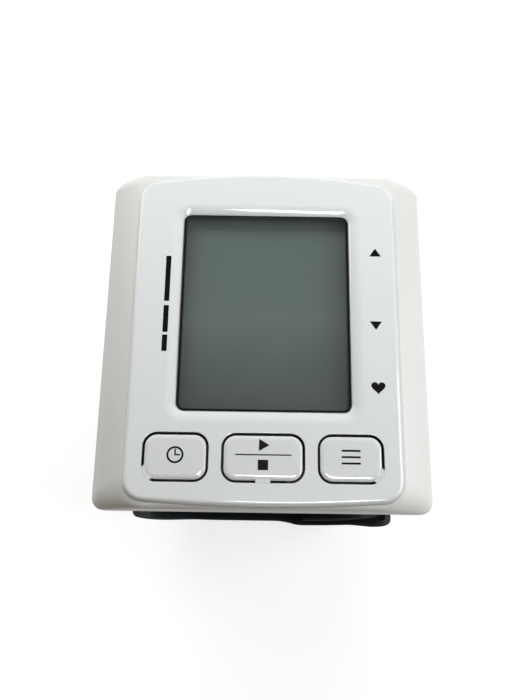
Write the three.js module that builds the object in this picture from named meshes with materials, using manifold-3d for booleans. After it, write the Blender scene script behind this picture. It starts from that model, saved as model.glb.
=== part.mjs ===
// Wrist blood pressure monitor: a display unit that sits on a closed wrist cuff.
// Millimetres, +Z up through the display, +X to the reader's right, +Y towards the top of the display.
import * as THREE from "three";
import { mergeVertices } from "three/addons/utils/BufferGeometryUtils.js";
import Module from "manifold-3d";

const wasm = await Module();
wasm.setup();

// Driving dimensions of the cuff
const wristRadius = 28.5; // inside of the cuff over the back of the wrist
const lowerRadius = 24; // outside of the strap's lower bends, and the height of the cuff's axis
const cuffWidth = 71; // along the forearm
const coverThickness = 1.2;
const stiffenerThickness = 0.8;
const bladderThickness = 1.2;
const linerThickness = 0.9;
const strapThickness = 2.4; // strap and hook patch where they lap the short wing
const hookThickness = 0.9;
const bindingWidth = 2.6;
const bindingInset = 0.2; // the binding's face lies this far below the cover's
const bindingTuck = 0.5; // binding across a tip ends this far inside the edge bindings
const lapShift = 1.1; // the lapped strap runs this far forward of the short wing
const lapLead = 1.5; // the strap thins this far before it bends up
const seam = 1; // length over which the straight and the lapped edge bindings are sewn together
const peelAngle = 35; // degrees below the cuff's axis where the loose end starts to peel
const tailAngle = 25; // degrees above the axis where the loose end stops
const shortTipAngle = 85; // degrees below the axis where the short wing stops
const bladderMargin = 25; // degrees above the axis where the bladder stops, on both sides
const stiffenerMargin = 12;
const bendStep = 7.5; // degrees between two lines of a bent layer

// Driving dimensions of the unit
const bodyWidth = 72; // at the widest line
const bodyLength = 76;
const shoulderDrop = 7; // from the panel's face to the widest line
const splitDrop = 10; // from the panel's face to the line between the two case halves
const splitStep = 0.1; // the rear case is set in by this much at that line
const panelRaise = 0.9; // how far the panel stands above the case round it
const panelMargin = 0.5; // flat of the case beside the panel
const slopeStart = 0.4; // round at the widest line
const wall = 1.8;
const lipWall = 1.2; // under the outer cell and the pump
const draft = 1.1; // the rear case narrows by this much on each side towards its lips
const endDraft = 1.4;
const cornerRadius = 2.6; // near corners seen from above, at the widest line
const backCornerRadius = 2.2; // far corners
const topCornerRadius = 6; // near corners at the top of the front case
const topBackCornerRadius = 3.5;
const bandBulge = 1.1; // how far the sloped side bands swell at their middle
const innerCorner = 1;
const endRound = 1; // round edge along the two ends of the front case
const lipRound = 1.5;

// Driving dimensions of the front panel, display and keys
const panelWidth = 57.56;
const panelFrontInset = 0.55; // from the case's near end to the panel's edge, at its middle
const panelBackInset = 0.4;
const panelBowFront = 0.9;
const panelBowBack = 1.9;
const panelCorner = 4.6;
const panelThickness = 1.9;
const panelRound = 0.8;
const windowWidth = 36.95;
const windowLength = 45;
const windowY = 4.73;
const windowCorner = 1.7;
const windowRound = 0.8;
const lensDrop = 0.7; // from the panel's face to the window's face
const lensThickness = 1.2;
const glassDepth = 3.2; // from the panel's face to the display glass
const glassThickness = 2.4;
const glassMargin = 2; // glass hidden under the holder on every side
const holderWall = 1.2;
const holderLip = 0.7;
const holderSight = 0.2; // the holder's opening stands back this far from the window's edge
const connectorWidth = 2;
const keyY = -27.6;
const keyLength = 10.18; // slot included
const startKeyWidth = 17.2;
const sideKeyWidth = 13.66;
const keyGap = 2.62; // panel between two key openings
const keyCorner = 3;
const keySlot = 0.5;
const keyRound = 0.4;
const keyWebWidth = 2.5;
const keyWebGap = 0.15;
const keyWebSink = 0.3; // web below the key's face and above its underside
const keyPostRadius = 1.3;
const keyPostRoot = 0.5; // post inside the key

// Driving dimensions of the board and what it carries
const boardDepth = 8.4; // from the panel's face to the board
const boardThickness = 1.2;
const boardLift = 0.5; // board above the battery compartment
const boardSideRoom = 0.7; // to the screw bosses
const boardEndRoom = 1.7; // to the end walls
const switchSize = 5.2;
const switchHeight = 1.8;
const switchFloor = 0.4;
const plungerRadius = 1.5;
const plungerHeight = 2.2;
const plungerRise = 1.15; // plunger above its switch
const chipSize = 10;
const chipHeight = 1.6;
const chipX = 6;
const chipY = -14;
const buzzerRadius = 4.5;
const buzzerHeight = 4;
const buzzerX = 10;
const buzzerY = -26;
const sensorSize = 8;
const sensorHeight = 5;
const postRadius = 1.5;
const postMargin = 1.2; // from a post to the nearest edge of the board or key opening
const supportGap = 2.6; // from a post under the board to the pump
const supportInset = 3.5; // from such a post's axis to the board's near edge
const supportBackY = 8;

// Driving dimensions of the power supply
const cellRadius = 5.25; // size AAA
const cellLength = 44.5;
const cellGap = 0.7;
const nubRadius = 1.9;
const nubLength = 1.2;
const springLength = 2.6;
const springTurns = 2.5;
const springWire = 0.25; // radius
const springWide = 3.3;
const springNarrow = 2;
const contactThickness = 0.4;
const contactRadius = 4.2;
const compartmentWall = 1.2;
const doorMargin = 0.8; // from the door opening to the ends of the compartment
const doorBelow = 3; // from the lip up to the door opening
const doorAbove = 3; // from the door opening up to the split line
const gripRadius = 5;
const gripDepth = 0.5;

// Driving dimensions of the air system
const pumpRadius = 6.2;
const motorLength = 22;
const headLength = 18;
const shaftRadius = 1;
const shaftDepth = 12;
const shaftReach = 6;
const eccentricRadius = 3;
const eccentricThickness = 3;
const eccentricOffset = 1;
const chamberRoom = 2; // beyond the end of the shaft
const nozzleRadius = 1.5;
const nozzleLength = 3.5;
const nozzleBore = 0.6;
const nozzleRoot = 1; // nozzle inside what carries it
const tubeRadius = 2;
const tubeBend = 6.6; // room behind the pump for its tube to turn
const tubeBackRoom = 3.1; // from the tube across the unit to the end wall
const valveTubeLength = 4.2;
const sensorTubeLength = 3.5;
const manifoldRadius = 2.2;
const manifoldReach = 4.5;
const manifoldBore = 0.8;
const portY = 20;
const portRadius = 2.2;
const portBore = 1;
const portFlange = 4.5;
const portFlangeThickness = 1.2;
const valveRadius = 4;
const valveLength = 10;
const valveEndWall = 1;
const valvePlungerRadius = 2.2;
const valvePlungerOut = 1.5;
const valvePlungerRoom = 1.5; // behind the plunger
const ribThickness = 2;
const cradleInset = 5; // cradles from the two ends of the pump

// Driving dimensions of the screws
const bossInset = 6.3;
const bossRadius = 3;
const screwRadius = 1.1;
const screwHeadRadius = 2.1;
const screwHeadHeight = 1.5;
const screwSink = 4; // head seat above the lip
const screwBite = 6; // shank in the front case
const screwSlotLength = 3;
const screwSlotWidth = 0.6;
const screwSlotDepth = 0.7;

// Clearances
const clearance = 0.3;
const fineGap = 0.2; // round the panel, the window and the switch plungers

// Derived sizes of the cuff
const degree = Math.PI / 180;
const cuffThickness =
  coverThickness + stiffenerThickness + bladderThickness + linerThickness + 3 * clearance;
const cuffRadius = wristRadius + cuffThickness;
const lapOffset = strapThickness + clearance;
const shortRadius = lowerRadius - lapOffset;
const ringX = -lapOffset / 2;
const axisZ = lowerRadius;
const leftX = ringX - (cuffRadius - lowerRadius);
const rightX = ringX + cuffRadius - shortRadius;

// Derived places of the unit: the cells and the pump lie on the floor over the cuff and set its depth
const halfWidth = bodyWidth / 2;
const halfLength = bodyLength / 2;
const far = bodyLength + bodyWidth; // reaches past the whole object
const seatRadius = cuffRadius + clearance;
const floorRadius = seatRadius + wall;
const rearTopHalf = halfWidth - splitStep;
const rearLipHalf = halfWidth - draft;
const sideInner = rearLipHalf - wall;

const cellOrbit = floorRadius + cellRadius + clearance;
const outerCellAngle = Math.asin((ringX + sideInner - cellRadius - clearance) / cellOrbit);
const innerCellAngle = outerCellAngle - 2 * Math.asin((2 * cellRadius + cellGap) / (2 * cellOrbit));
const cellPlace = (angle) => [ringX - cellOrbit * Math.sin(angle), axisZ + cellOrbit * Math.cos(angle)];
const outerCell = cellPlace(outerCellAngle);
const innerCell = cellPlace(innerCellAngle);
const pocketFloor = outerCell[1] - cellRadius - clearance;
const pocketTop = innerCell[1] + cellRadius + clearance;
const pocketRight = innerCell[0] + cellRadius + 2 * clearance;
const pocketHalf = (cellLength + springLength + 2 * contactThickness + 5 * clearance) / 2;

const pumpOrbit = floorRadius + pumpRadius + 2 * clearance;
const pumpX = sideInner - pumpRadius - clearance;
const pumpZ = axisZ + Math.sqrt(pumpOrbit ** 2 - (pumpX - ringX) ** 2);

const lipZ = Math.min(pocketFloor, pumpZ - pumpRadius - clearance) - lipWall;
const boxTop = pocketTop + compartmentWall;
const floorTop = axisZ + floorRadius;
const valveTop = floorTop + clearance + 2 * valveRadius;
const boardUnder = Math.max(boxTop + boardLift, valveTop + 2 * clearance);
const boardTop = boardUnder + boardThickness;
const panelTop = boardTop + boardDepth;
const panelUnder = panelTop - panelThickness;
const caseTop = panelTop - panelRaise;
const widestZ = panelTop - shoulderDrop;
const slopeFoot = widestZ + slopeStart;
const splitZ = panelTop - splitDrop;
const recessZ = panelUnder - fineGap;
const ceilingZ = recessZ - wall;
const bossX = halfWidth - bossInset;
const bossY = halfLength - bossInset;
const boardHalfWidth = bossX - bossRadius - boardSideRoom;
const boardHalfLength = halfLength - wall - boardEndRoom;
const tubeY = halfLength - wall - endDraft - tubeBackRoom - tubeRadius;

// Solid and mesh helpers
const monitor = new THREE.Group();

function solid(geometry) {
  geometry.deleteAttribute("normal");
  geometry.deleteAttribute("uv");
  const merged = mergeVertices(geometry, 1e-4);
  const mesh = new wasm.Mesh({
    numProp: 3,
    vertProperties: new Float32Array(merged.attributes.position.array),
    triVerts: new Uint32Array(merged.index.array),
  });
  return new wasm.Manifold(mesh);
}

function addPart(name, body, colour, roughness, metalness = 0) {
  const { vertProperties, triVerts } = body.getMesh();
  const geometry = new THREE.BufferGeometry();
  geometry.setAttribute("position", new THREE.BufferAttribute(vertProperties, 3));
  geometry.setIndex(new THREE.BufferAttribute(triVerts, 1));
  geometry.computeVertexNormals();
  const material = new THREE.MeshStandardMaterial({ color: colour, roughness, metalness });
  const mesh = new THREE.Mesh(geometry, material);
  mesh.name = name;
  monitor.add(mesh);
}

function box(lowX, highX, lowY, highY, lowZ, highZ) {
  const geometry = new THREE.BoxGeometry(highX - lowX, highY - lowY, highZ - lowZ);
  geometry.translate((lowX + highX) / 2, (lowY + highY) / 2, (lowZ + highZ) / 2);
  return solid(geometry);
}

// Box round a place in plan, between two heights
function block(x, y, width, length, lowZ, highZ) {
  return box(x - width / 2, x + width / 2, y - length / 2, y + length / 2, lowZ, highZ);
}

// Round bar along one axis between two places on it
function rod(axis, radius, start, end, centre, sides = 12) {
  const geometry = new THREE.CylinderGeometry(radius, radius, end - start, sides);
  geometry.translate(0, (start + end) / 2, 0);
  if (axis === "x") {
    geometry.rotateZ(-Math.PI / 2);
    geometry.translate(0, centre[0], centre[1]);
  } else if (axis === "y") {
    geometry.translate(centre[0], 0, centre[1]);
  } else {
    geometry.rotateX(Math.PI / 2);
    geometry.translate(centre[0], centre[1], 0);
  }
  return solid(geometry);
}

// Counter-clockwise rectangle with round corners; its two ends may bow outwards at the middle
function outline(size) {
  const { half, front, back, radius, backRadius = radius } = size;
  const { bowFront = 0, bowBack = 0, x = 0, endSteps = 1 } = size;
  const cornerSteps = 4;
  const points = [];
  const corner = (side, centreY, round, start) => {
    for (let i = 0; i <= cornerSteps; i += 1) {
      const angle = start + (i / cornerSteps) * (Math.PI / 2);
      const px = x + side * (half - round) + round * Math.cos(angle);
      points.push(new THREE.Vector2(px, centreY + round * Math.sin(angle)));
    }
  };
  const end = (from, sign, middle, bow, round) => {
    for (let i = 1; i < endSteps; i += 1) {
      const share = from * (1 - (2 * i) / endSteps);
      const px = x + (half - round) * share;
      points.push(new THREE.Vector2(px, sign * (middle - bow * share * share)));
    }
  };
  corner(1, -(front - bowFront - radius), radius, -Math.PI / 2);
  corner(1, back - bowBack - backRadius, backRadius, 0);
  end(1, 1, back, bowBack, backRadius);
  corner(-1, back - bowBack - backRadius, backRadius, Math.PI / 2);
  corner(-1, -(front - bowFront - radius), radius, Math.PI);
  end(-1, -1, front, bowFront, radius);
  return points;
}

// Closed body through outlines with one point count, from the lowest to the highest
function loft(levels) {
  const count = levels[0].points.length;
  const positions = [];
  const index = [];
  for (const { points, z } of levels) {
    points.forEach((p) => positions.push(p.x, p.y, z));
  }
  for (let k = 0; k + 1 < levels.length; k += 1) {
    for (let i = 0; i < count; i += 1) {
      const a = k * count + i;
      const b = k * count + ((i + 1) % count);
      index.push(a, b, b + count, a, b + count, a + count);
    }
  }
  const last = (levels.length - 1) * count;
  for (const [i, j, k] of THREE.ShapeUtils.triangulateShape(levels[0].points, [])) {
    index.push(i, k, j);
  }
  for (const [i, j, k] of THREE.ShapeUtils.triangulateShape(levels.at(-1).points, [])) {
    index.push(last + i, last + j, last + k);
  }
  const geometry = new THREE.BufferGeometry();
  geometry.setAttribute("position", new THREE.Float32BufferAttribute(positions, 3));
  geometry.setIndex(index);
  return solid(geometry);
}

function prism(points, lowZ, highZ) {
  return loft([{ points, z: lowZ }, { points, z: highZ }]);
}

// Insets and drops of a quarter round edge, from its side up to its top
function roundLevels(round, steps) {
  const levels = [];
  for (let i = 0; i <= steps; i += 1) {
    const angle = (i / steps) * (Math.PI / 2);
    levels.push({ inset: round * (1 - Math.cos(angle)), drop: round * (1 - Math.sin(angle)) });
  }
  return levels;
}

// Flat shape in the XZ plane, drawn out along Y
function alongY(points, lowY, highY) {
  const shape = new THREE.Shape(points);
  const geometry = new THREE.ExtrudeGeometry(shape, { depth: highY - lowY, bevelEnabled: false });
  geometry.rotateX(Math.PI / 2);
  geometry.translate(0, highY, 0);
  return solid(geometry);
}

// Round bar along a curve; an arc is drawn with two points for each of its segments
function tubeAlong(curve, radius, steps, sides) {
  const section = new THREE.Shape();
  section.absarc(0, 0, radius, 0, 2 * Math.PI);
  const options = { extrudePath: curve, steps, curveSegments: sides / 2, bevelEnabled: false };
  return solid(new THREE.ExtrudeGeometry(section, options));
}

// Height of the inside floor over the cuff, at one place across the unit
function floorAt(x) {
  const across = Math.min(Math.abs(x - ringX), floorRadius);
  return axisZ + Math.sqrt(floorRadius ** 2 - across ** 2);
}

// Case outlines: the front half slopes in from the widest line, the rear half drafts down to the lips
function caseOutline(half, end, radius, backRadius = radius) {
  return outline({ half, front: end, back: end, radius, backRadius });
}

function shoulderHalf(z) {
  const topHalf = panelWidth / 2 + panelMargin;
  const share = (z - slopeFoot) / (caseTop - slopeFoot);
  const swell = bandBulge * 4 * share * (1 - share);
  return halfWidth - slopeStart - share * (halfWidth - slopeStart - topHalf) + swell;
}

function rearOutline(inset, z) {
  const share = (z - lipZ) / (splitZ - lipZ);
  const half = rearLipHalf + share * (rearTopHalf - rearLipHalf) - inset;
  const end = halfLength - splitStep - endDraft * (1 - share) - inset;
  const nearCorner = Math.max(cornerRadius - inset, innerCorner);
  const farCorner = Math.max(backCornerRadius - inset, innerCorner);
  return caseOutline(half, end, nearCorner, farCorner);
}

const seatBore = rod("y", seatRadius, -far, far, [ringX, axisZ], 64);
const floorBore = rod("y", floorRadius, -far, far, [ringX, axisZ], 64);

// Front case: a shell with four screw bosses, four posts that hold the board down, and the panel's recess
const edgeOutline = (half, end) => caseOutline(half, end, cornerRadius, backCornerRadius);
const slopeHead = caseTop - endRound;
const bandSteps = 4;
const bandLevels = [];
for (let i = 0; i < bandSteps; i += 1) {
  const share = i / bandSteps;
  const z = slopeFoot + share * (slopeHead - slopeFoot);
  const nearCorner = cornerRadius + share * (topCornerRadius - cornerRadius);
  const farCorner = backCornerRadius + share * (topBackCornerRadius - backCornerRadius);
  bandLevels.push({ points: caseOutline(shoulderHalf(z), halfLength, nearCorner, farCorner), z });
}
const topOutline = (half, end) => caseOutline(half, end, topCornerRadius, topBackCornerRadius);
const frontOuter = loft([
  { points: edgeOutline(rearTopHalf, halfLength - splitStep), z: splitZ + clearance / 2 },
  { points: edgeOutline(halfWidth, halfLength), z: widestZ - slopeStart },
  ...bandLevels,
  ...roundLevels(endRound, 2).map(({ inset, drop }) => ({
    points: topOutline(shoulderHalf(caseTop - drop), halfLength - inset),
    z: caseTop - drop,
  })),
]);
const slopeWall = wall * Math.SQRT2; // wall measured level through the slope
const innerBackCorner = Math.max(backCornerRadius - wall, innerCorner);
const innerOutline = (half) => caseOutline(half, halfLength - wall, innerCorner, innerBackCorner);
const frontInner = loft([
  { points: innerOutline(rearTopHalf - wall), z: splitZ - wall },
  { points: innerOutline(halfWidth - wall), z: widestZ - wall / 2 },
  { points: innerOutline(shoulderHalf(ceilingZ) - slopeWall), z: ceilingZ },
]);

const bossPlaces = [
  ["left_front", -bossX, -bossY],
  ["right_front", bossX, -bossY],
  ["left_back", -bossX, bossY],
  ["right_back", bossX, bossY],
];

function panelOutline(inset) {
  return outline({
    half: panelWidth / 2 - inset,
    front: halfLength - panelFrontInset - inset,
    back: halfLength - panelBackInset - inset,
    radius: panelCorner - inset,
    bowFront: panelBowFront,
    bowBack: panelBowBack,
    endSteps: 8,
  });
}

function windowOutline(grow) {
  return outline({
    half: windowWidth / 2 + grow,
    front: windowLength / 2 - windowY + grow,
    back: windowLength / 2 + windowY + grow,
    radius: windowCorner + Math.max(grow, 0),
  });
}

const sideKeyX = startKeyWidth / 2 + keyGap + sideKeyWidth / 2;
const keys = [
  { name: "set_key", switchName: "set_switch", x: -sideKeyX, width: sideKeyWidth, corner: -1 },
  { name: "start_key", switchName: "start_switch", x: 0, width: startKeyWidth, corner: 0 },
  { name: "memory_key", switchName: "memory_switch", x: sideKeyX, width: sideKeyWidth, corner: 1 },
];

function keyOutline(key, grow) {
  return outline({
    half: key.width / 2 + grow,
    front: keyLength / 2 - keyY + grow,
    back: keyLength / 2 + keyY + grow,
    radius: keyCorner + grow,
    x: key.x,
  });
}

const holderGrow = glassMargin + clearance + holderWall;
const postX = windowWidth / 2 + holderGrow + 2 * clearance + postRadius;
const postFrontY = keyY + keyLength / 2 + postMargin + postRadius;
const postBackY = boardHalfLength - postMargin - postRadius;
let frontCase = frontOuter.subtract(frontInner);
for (const [, x, y] of bossPlaces) {
  const boss = rod("z", bossRadius, splitZ + clearance, panelTop, [x, y]);
  frontCase = frontCase.add(boss.intersect(frontOuter));
}
for (const x of [-postX, postX]) {
  for (const y of [postFrontY, postBackY]) {
    frontCase = frontCase.add(rod("z", postRadius, boardTop + clearance, ceilingZ + wall / 2, [x, y], 8));
  }
}
frontCase = frontCase.subtract(prism(panelOutline(-fineGap), recessZ, far));
frontCase = frontCase.subtract(prism(windowOutline(holderGrow + clearance), splitZ, far));
for (const key of keys) {
  frontCase = frontCase.subtract(prism(keyOutline(key, clearance), splitZ, far));
}
for (const [, x, y] of bossPlaces) {
  const hole = rod("z", screwRadius + clearance, 0, splitZ + screwBite + clearance, [x, y]);
  frontCase = frontCase.subtract(hole);
}
addPart("front_case", frontCase, 0xe6e6e2, 0.45);

// Front panel: a glossy plate with a round edge, the display opening and three key openings
let frontPanel = loft([
  { points: panelOutline(0), z: panelUnder },
  ...roundLevels(panelRound, 3).map(({ inset, drop }) => ({
    points: panelOutline(inset),
    z: panelTop - drop,
  })),
]);
frontPanel = frontPanel.subtract(
  loft([
    { points: windowOutline(0), z: 0 },
    ...roundLevels(windowRound, 3).map(({ inset, drop }) => ({
      points: windowOutline(inset),
      z: panelTop - drop,
    })),
    { points: windowOutline(windowRound), z: far },
  ]),
);
for (const key of keys) {
  frontPanel = frontPanel.subtract(prism(keyOutline(key, 0), 0, far));
}
addPart("front_panel", frontPanel, 0xf0f2f1, 0.12);

// Display window, holder, glass and its two contact strips
const lensTop = panelTop - lensDrop;
const lensUnder = lensTop - lensThickness;
addPart("display_window", prism(windowOutline(-fineGap), lensUnder, lensTop), 0x9aa5a2, 0.05);
const holderTop = Math.min(panelUnder, lensUnder) - clearance;
const holderInside = prism(windowOutline(glassMargin + clearance), 0, holderTop - holderLip);
const holderOpening = prism(windowOutline(holderSight), 0, far);
let lcdHolder = prism(windowOutline(holderGrow), boardTop + clearance, holderTop);
lcdHolder = lcdHolder.subtract(holderInside).subtract(holderOpening);
addPart("lcd_holder", lcdHolder, 0x151515, 0.6);
const glassTop = panelTop - glassDepth;
const glassUnder = glassTop - glassThickness;
addPart("lcd_glass", prism(windowOutline(glassMargin), glassUnder, glassTop), 0x66706d, 0.2);
for (const [name, side] of [["lcd_connector_front", -1], ["lcd_connector_back", 1]]) {
  const y = windowY + side * (windowLength / 2);
  const strip = block(0, y, windowWidth, connectorWidth, boardTop + clearance, glassUnder - clearance);
  addPart(name, strip, 0xd9a6a0, 0.8);
}

// Keys: each has a post under it and a thin web at the edge where it bends
const switchUnder = boardTop + clearance;
const switchTop = switchUnder + switchHeight;
const plungerTop = switchTop + plungerRise;
const webRoot = keySlot + keyWebGap;
const webLow = panelUnder + keyWebSink;
const webHigh = panelTop - keyWebSink;
const keyFront = keyY - keyLength / 2;
for (const key of keys) {
  let body = loft([
    { points: keyOutline(key, -keySlot), z: panelUnder },
    ...roundLevels(keyRound, 2).map(({ inset, drop }) => ({
      points: keyOutline(key, -keySlot - inset),
      z: panelTop - drop,
    })),
  ]);
  if (key.corner === 0) {
    const half = keyWebWidth / 2;
    const webFront = keyFront + keyWebGap;
    body = body.add(box(-half, half, webFront, webFront + 2 * webRoot, webLow, webHigh));
  } else {
    const webEnd = Math.sqrt((keyCorner - keyWebGap) ** 2 - (keyWebWidth / 2) ** 2);
    const geometry = new THREE.BoxGeometry(webRoot, keyWebWidth, webHigh - webLow);
    geometry.translate(webEnd - webRoot / 2, 0, (webLow + webHigh) / 2);
    geometry.rotateZ(key.corner > 0 ? -Math.PI / 4 : (-3 * Math.PI) / 4);
    const cornerX = key.x + key.corner * (key.width / 2 - keyCorner);
    geometry.translate(cornerX, keyFront + keyCorner, 0);
    body = body.add(solid(geometry));
  }
  const post = rod("z", keyPostRadius, plungerTop + clearance, panelUnder + keyPostRoot, [key.x, keyY]);
  addPart(key.name, body.add(post), 0xeceeed, 0.15);
}

// Main board with its switches, controller, sounder and pressure sensor
const board = block(0, 0, 2 * boardHalfWidth, 2 * boardHalfLength, boardUnder, boardTop);
addPart("main_board", board, 0x6b4a24, 0.5);
for (const key of keys) {
  const body = block(key.x, keyY, switchSize, switchSize, switchUnder, switchTop);
  const bore = rod("z", plungerRadius + fineGap, switchUnder + switchFloor, far, [key.x, keyY]);
  addPart(key.switchName, body.subtract(bore), 0x2a2a2a, 0.5);
  const plunger = rod("z", plungerRadius, plungerTop - plungerHeight, plungerTop, [key.x, keyY]);
  addPart(key.switchName.replace("switch", "plunger"), plunger, 0x8a8a8a, 0.4);
}
const underBoard = boardUnder - clearance;
const chip = block(chipX, chipY, chipSize, chipSize, underBoard - chipHeight, underBoard);
addPart("controller_chip", chip, 0x1c1c1e, 0.5);
const sounder = rod("z", buzzerRadius, underBoard - buzzerHeight, underBoard, [buzzerX, buzzerY], 20);
addPart("sounder", sounder, 0x202022, 0.5);

const flangeLow = floorTop + clearance;
const flangeTop = flangeLow + portFlangeThickness;
const portTop = flangeTop + clearance;
const manifoldLow = portTop + clearance;
const airZ = manifoldLow + manifoldRadius; // line of the air tubes
const manifoldRight = ringX + manifoldReach;
const sensorNozzleEnd = manifoldRight + clearance + sensorTubeLength + clearance;
const sensorX = sensorNozzleEnd + nozzleLength + sensorSize / 2;
const sensorBody = block(sensorX, portY, sensorSize, sensorSize, underBoard - sensorHeight, underBoard);
const sensorNozzle = rod("x", nozzleRadius, sensorNozzleEnd, sensorX, [portY, airZ]);
addPart("pressure_sensor", sensorBody.add(sensorNozzle), 0xe0ddd2, 0.5);

// Rear case: a tray with a hollow seat for the cuff, the battery compartment and cradles
const rearTop = splitZ - clearance / 2;
const rearOuter = loft([
  ...roundLevels(lipRound, 3)
    .reverse()
    .map(({ inset, drop }) => ({ points: rearOutline(inset, lipZ), z: lipZ + drop })),
  { points: rearOutline(0, rearTop), z: rearTop },
]);
const rearInner = loft([
  { points: rearOutline(wall, lipZ + wall), z: lipZ + wall },
  { points: rearOutline(wall, splitZ + wall), z: splitZ + wall },
]);
const rearSeated = rearOuter.subtract(seatBore);
const boxHalf = pocketHalf + compartmentWall;
const batteryBox = box(-halfWidth, pocketRight + compartmentWall, -boxHalf, boxHalf, lipZ, boxTop);
const pocket = box(-sideInner, pocketRight, -pocketHalf, pocketHalf, pocketFloor, pocketTop);
const doorHalf = pocketHalf - doorMargin;
const doorBottom = lipZ + doorBelow;
const doorTop = splitZ - doorAbove;
const doorCut = box(-far, -sideInner + wall / 2, -doorHalf, doorHalf, doorBottom, doorTop);

const pumpEnd = tubeY - tubeBend - clearance - nozzleLength;
const headFront = pumpEnd - headLength;
const motorBack = headFront - clearance;
const motorFront = motorBack - motorLength;
const manifoldFront = portY - manifoldRadius - nozzleLength;
const valveTubeBack = manifoldFront - clearance;
const valveTubeFront = valveTubeBack - valveTubeLength;
const valveNozzleEnd = valveTubeFront - clearance;
const valveBack = valveNozzleEnd - nozzleLength / 2;
const valveFront = valveBack - valveLength;
const valveZ = valveTop - valveRadius;
const valveAxis = [ringX, valveZ];

let rearCase = rearSeated.subtract(rearInner.subtract(floorBore));
rearCase = rearCase.add(batteryBox.intersect(rearSeated));
for (const [, x, y] of bossPlaces) {
  const boss = rod("z", bossRadius, lipZ, rearTop, [x, y]);
  rearCase = rearCase.add(boss.intersect(rearSeated));
}
for (const y of [motorFront + cradleInset, pumpEnd - cradleInset]) {
  const cradle = block(pumpX, y, 2 * pumpRadius + wall, ribThickness, lipZ, pumpZ);
  rearCase = rearCase.add(cradle.intersect(rearSeated));
}
const valveMiddle = (valveFront + valveBack) / 2;
const valveRib = block(ringX, valveMiddle, 2 * valveRadius, ribThickness, lipZ, valveZ);
rearCase = rearCase.add(valveRib.intersect(rearSeated));
const supportX = pumpX - pumpRadius - supportGap - postRadius - clearance;
for (const y of [supportInset - boardHalfLength, supportBackY]) {
  const foot = floorAt(supportX) - wall / 2;
  rearCase = rearCase.add(rod("z", postRadius, foot, underBoard, [supportX, y], 8));
}
rearCase = rearCase.subtract(pocket.subtract(floorBore));
rearCase = rearCase.subtract(doorCut.subtract(floorBore));
const pumpBore = rod("y", pumpRadius + clearance, motorFront - wall, pumpEnd + wall, [pumpX, pumpZ], 32);
rearCase = rearCase.subtract(pumpBore);
const valveBore = rod("y", valveRadius + clearance, valveFront - wall, valveBack + wall, valveAxis, 24);
rearCase = rearCase.subtract(valveBore);
for (const [, x, y] of bossPlaces) {
  rearCase = rearCase.subtract(rod("z", screwHeadRadius + clearance, 0, lipZ + screwSink, [x, y]));
  rearCase = rearCase.subtract(rod("z", screwRadius + clearance, 0, far, [x, y]));
}
const portHole = rod("z", portRadius + clearance, axisZ, far, [ringX, portY], 16);
addPart("rear_case", rearCase.subtract(portHole), 0xe2e1dc, 0.5);

// Battery door: the piece of side wall that fills the opening, with a finger grip
const doorFill = box(
  -far,
  -sideInner + wall / 2,
  -doorHalf + clearance,
  doorHalf - clearance,
  doorBottom + clearance,
  doorTop - clearance,
);
const gripFloor = -halfWidth + draft + gripDepth;
const grip = rod("x", gripRadius, -far, gripFloor, [0, (doorBottom + doorTop) / 2], 24);
const doorPlate = rearOuter.intersect(doorFill).subtract(rearInner).subtract(floorBore);
addPart("battery_door", doorPlate.subtract(grip), 0xe2e1dc, 0.5);

// Case screws with a cross recess, driven up from the lips
for (const [place, x, y] of bossPlaces) {
  const seat = lipZ + screwSink - clearance;
  const headUnder = seat - screwHeadHeight;
  const head = rod("z", screwHeadRadius, headUnder, seat, [x, y]);
  const shank = rod("z", screwRadius, headUnder + screwSlotDepth, splitZ + screwBite, [x, y]);
  const slotTop = headUnder + screwSlotDepth;
  const slotAcross = block(x, y, screwSlotLength, screwSlotWidth, 0, slotTop);
  const slotAlong = block(x, y, screwSlotWidth, screwSlotLength, 0, slotTop);
  const screw = head.add(shank).subtract(slotAcross).subtract(slotAlong);
  addPart(`case_screw_${place}`, screw, 0xa8a8a4, 0.35, 1);
}

// Two cells lying head to tail, with contact discs and coil springs
class ContactCoil extends THREE.Curve {
  constructor(centre, start, length, direction) {
    super();
    Object.assign(this, { centre, start, length, direction });
  }
  getPoint(t, target = new THREE.Vector3()) {
    const angle = t * springTurns * 2 * Math.PI;
    const radius = springWide + t * (springNarrow - springWide);
    return target.set(
      this.centre[0] + radius * Math.cos(angle),
      this.start + this.direction * t * this.length,
      this.centre[1] + radius * Math.sin(angle),
    );
  }
}

// Smallest gap between turns of a coil, from points along its middle line
function leastGap(coil, wireRadius) {
  const pointsPerTurn = 40;
  const points = coil.getPoints(pointsPerTurn * springTurns);
  let least = Infinity;
  points.forEach((p, i) => {
    for (let j = i + pointsPerTurn / 2; j < points.length; j += 1) {
      least = Math.min(least, p.distanceTo(points[j]) - 2 * wireRadius);
    }
  });
  return least;
}

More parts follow.
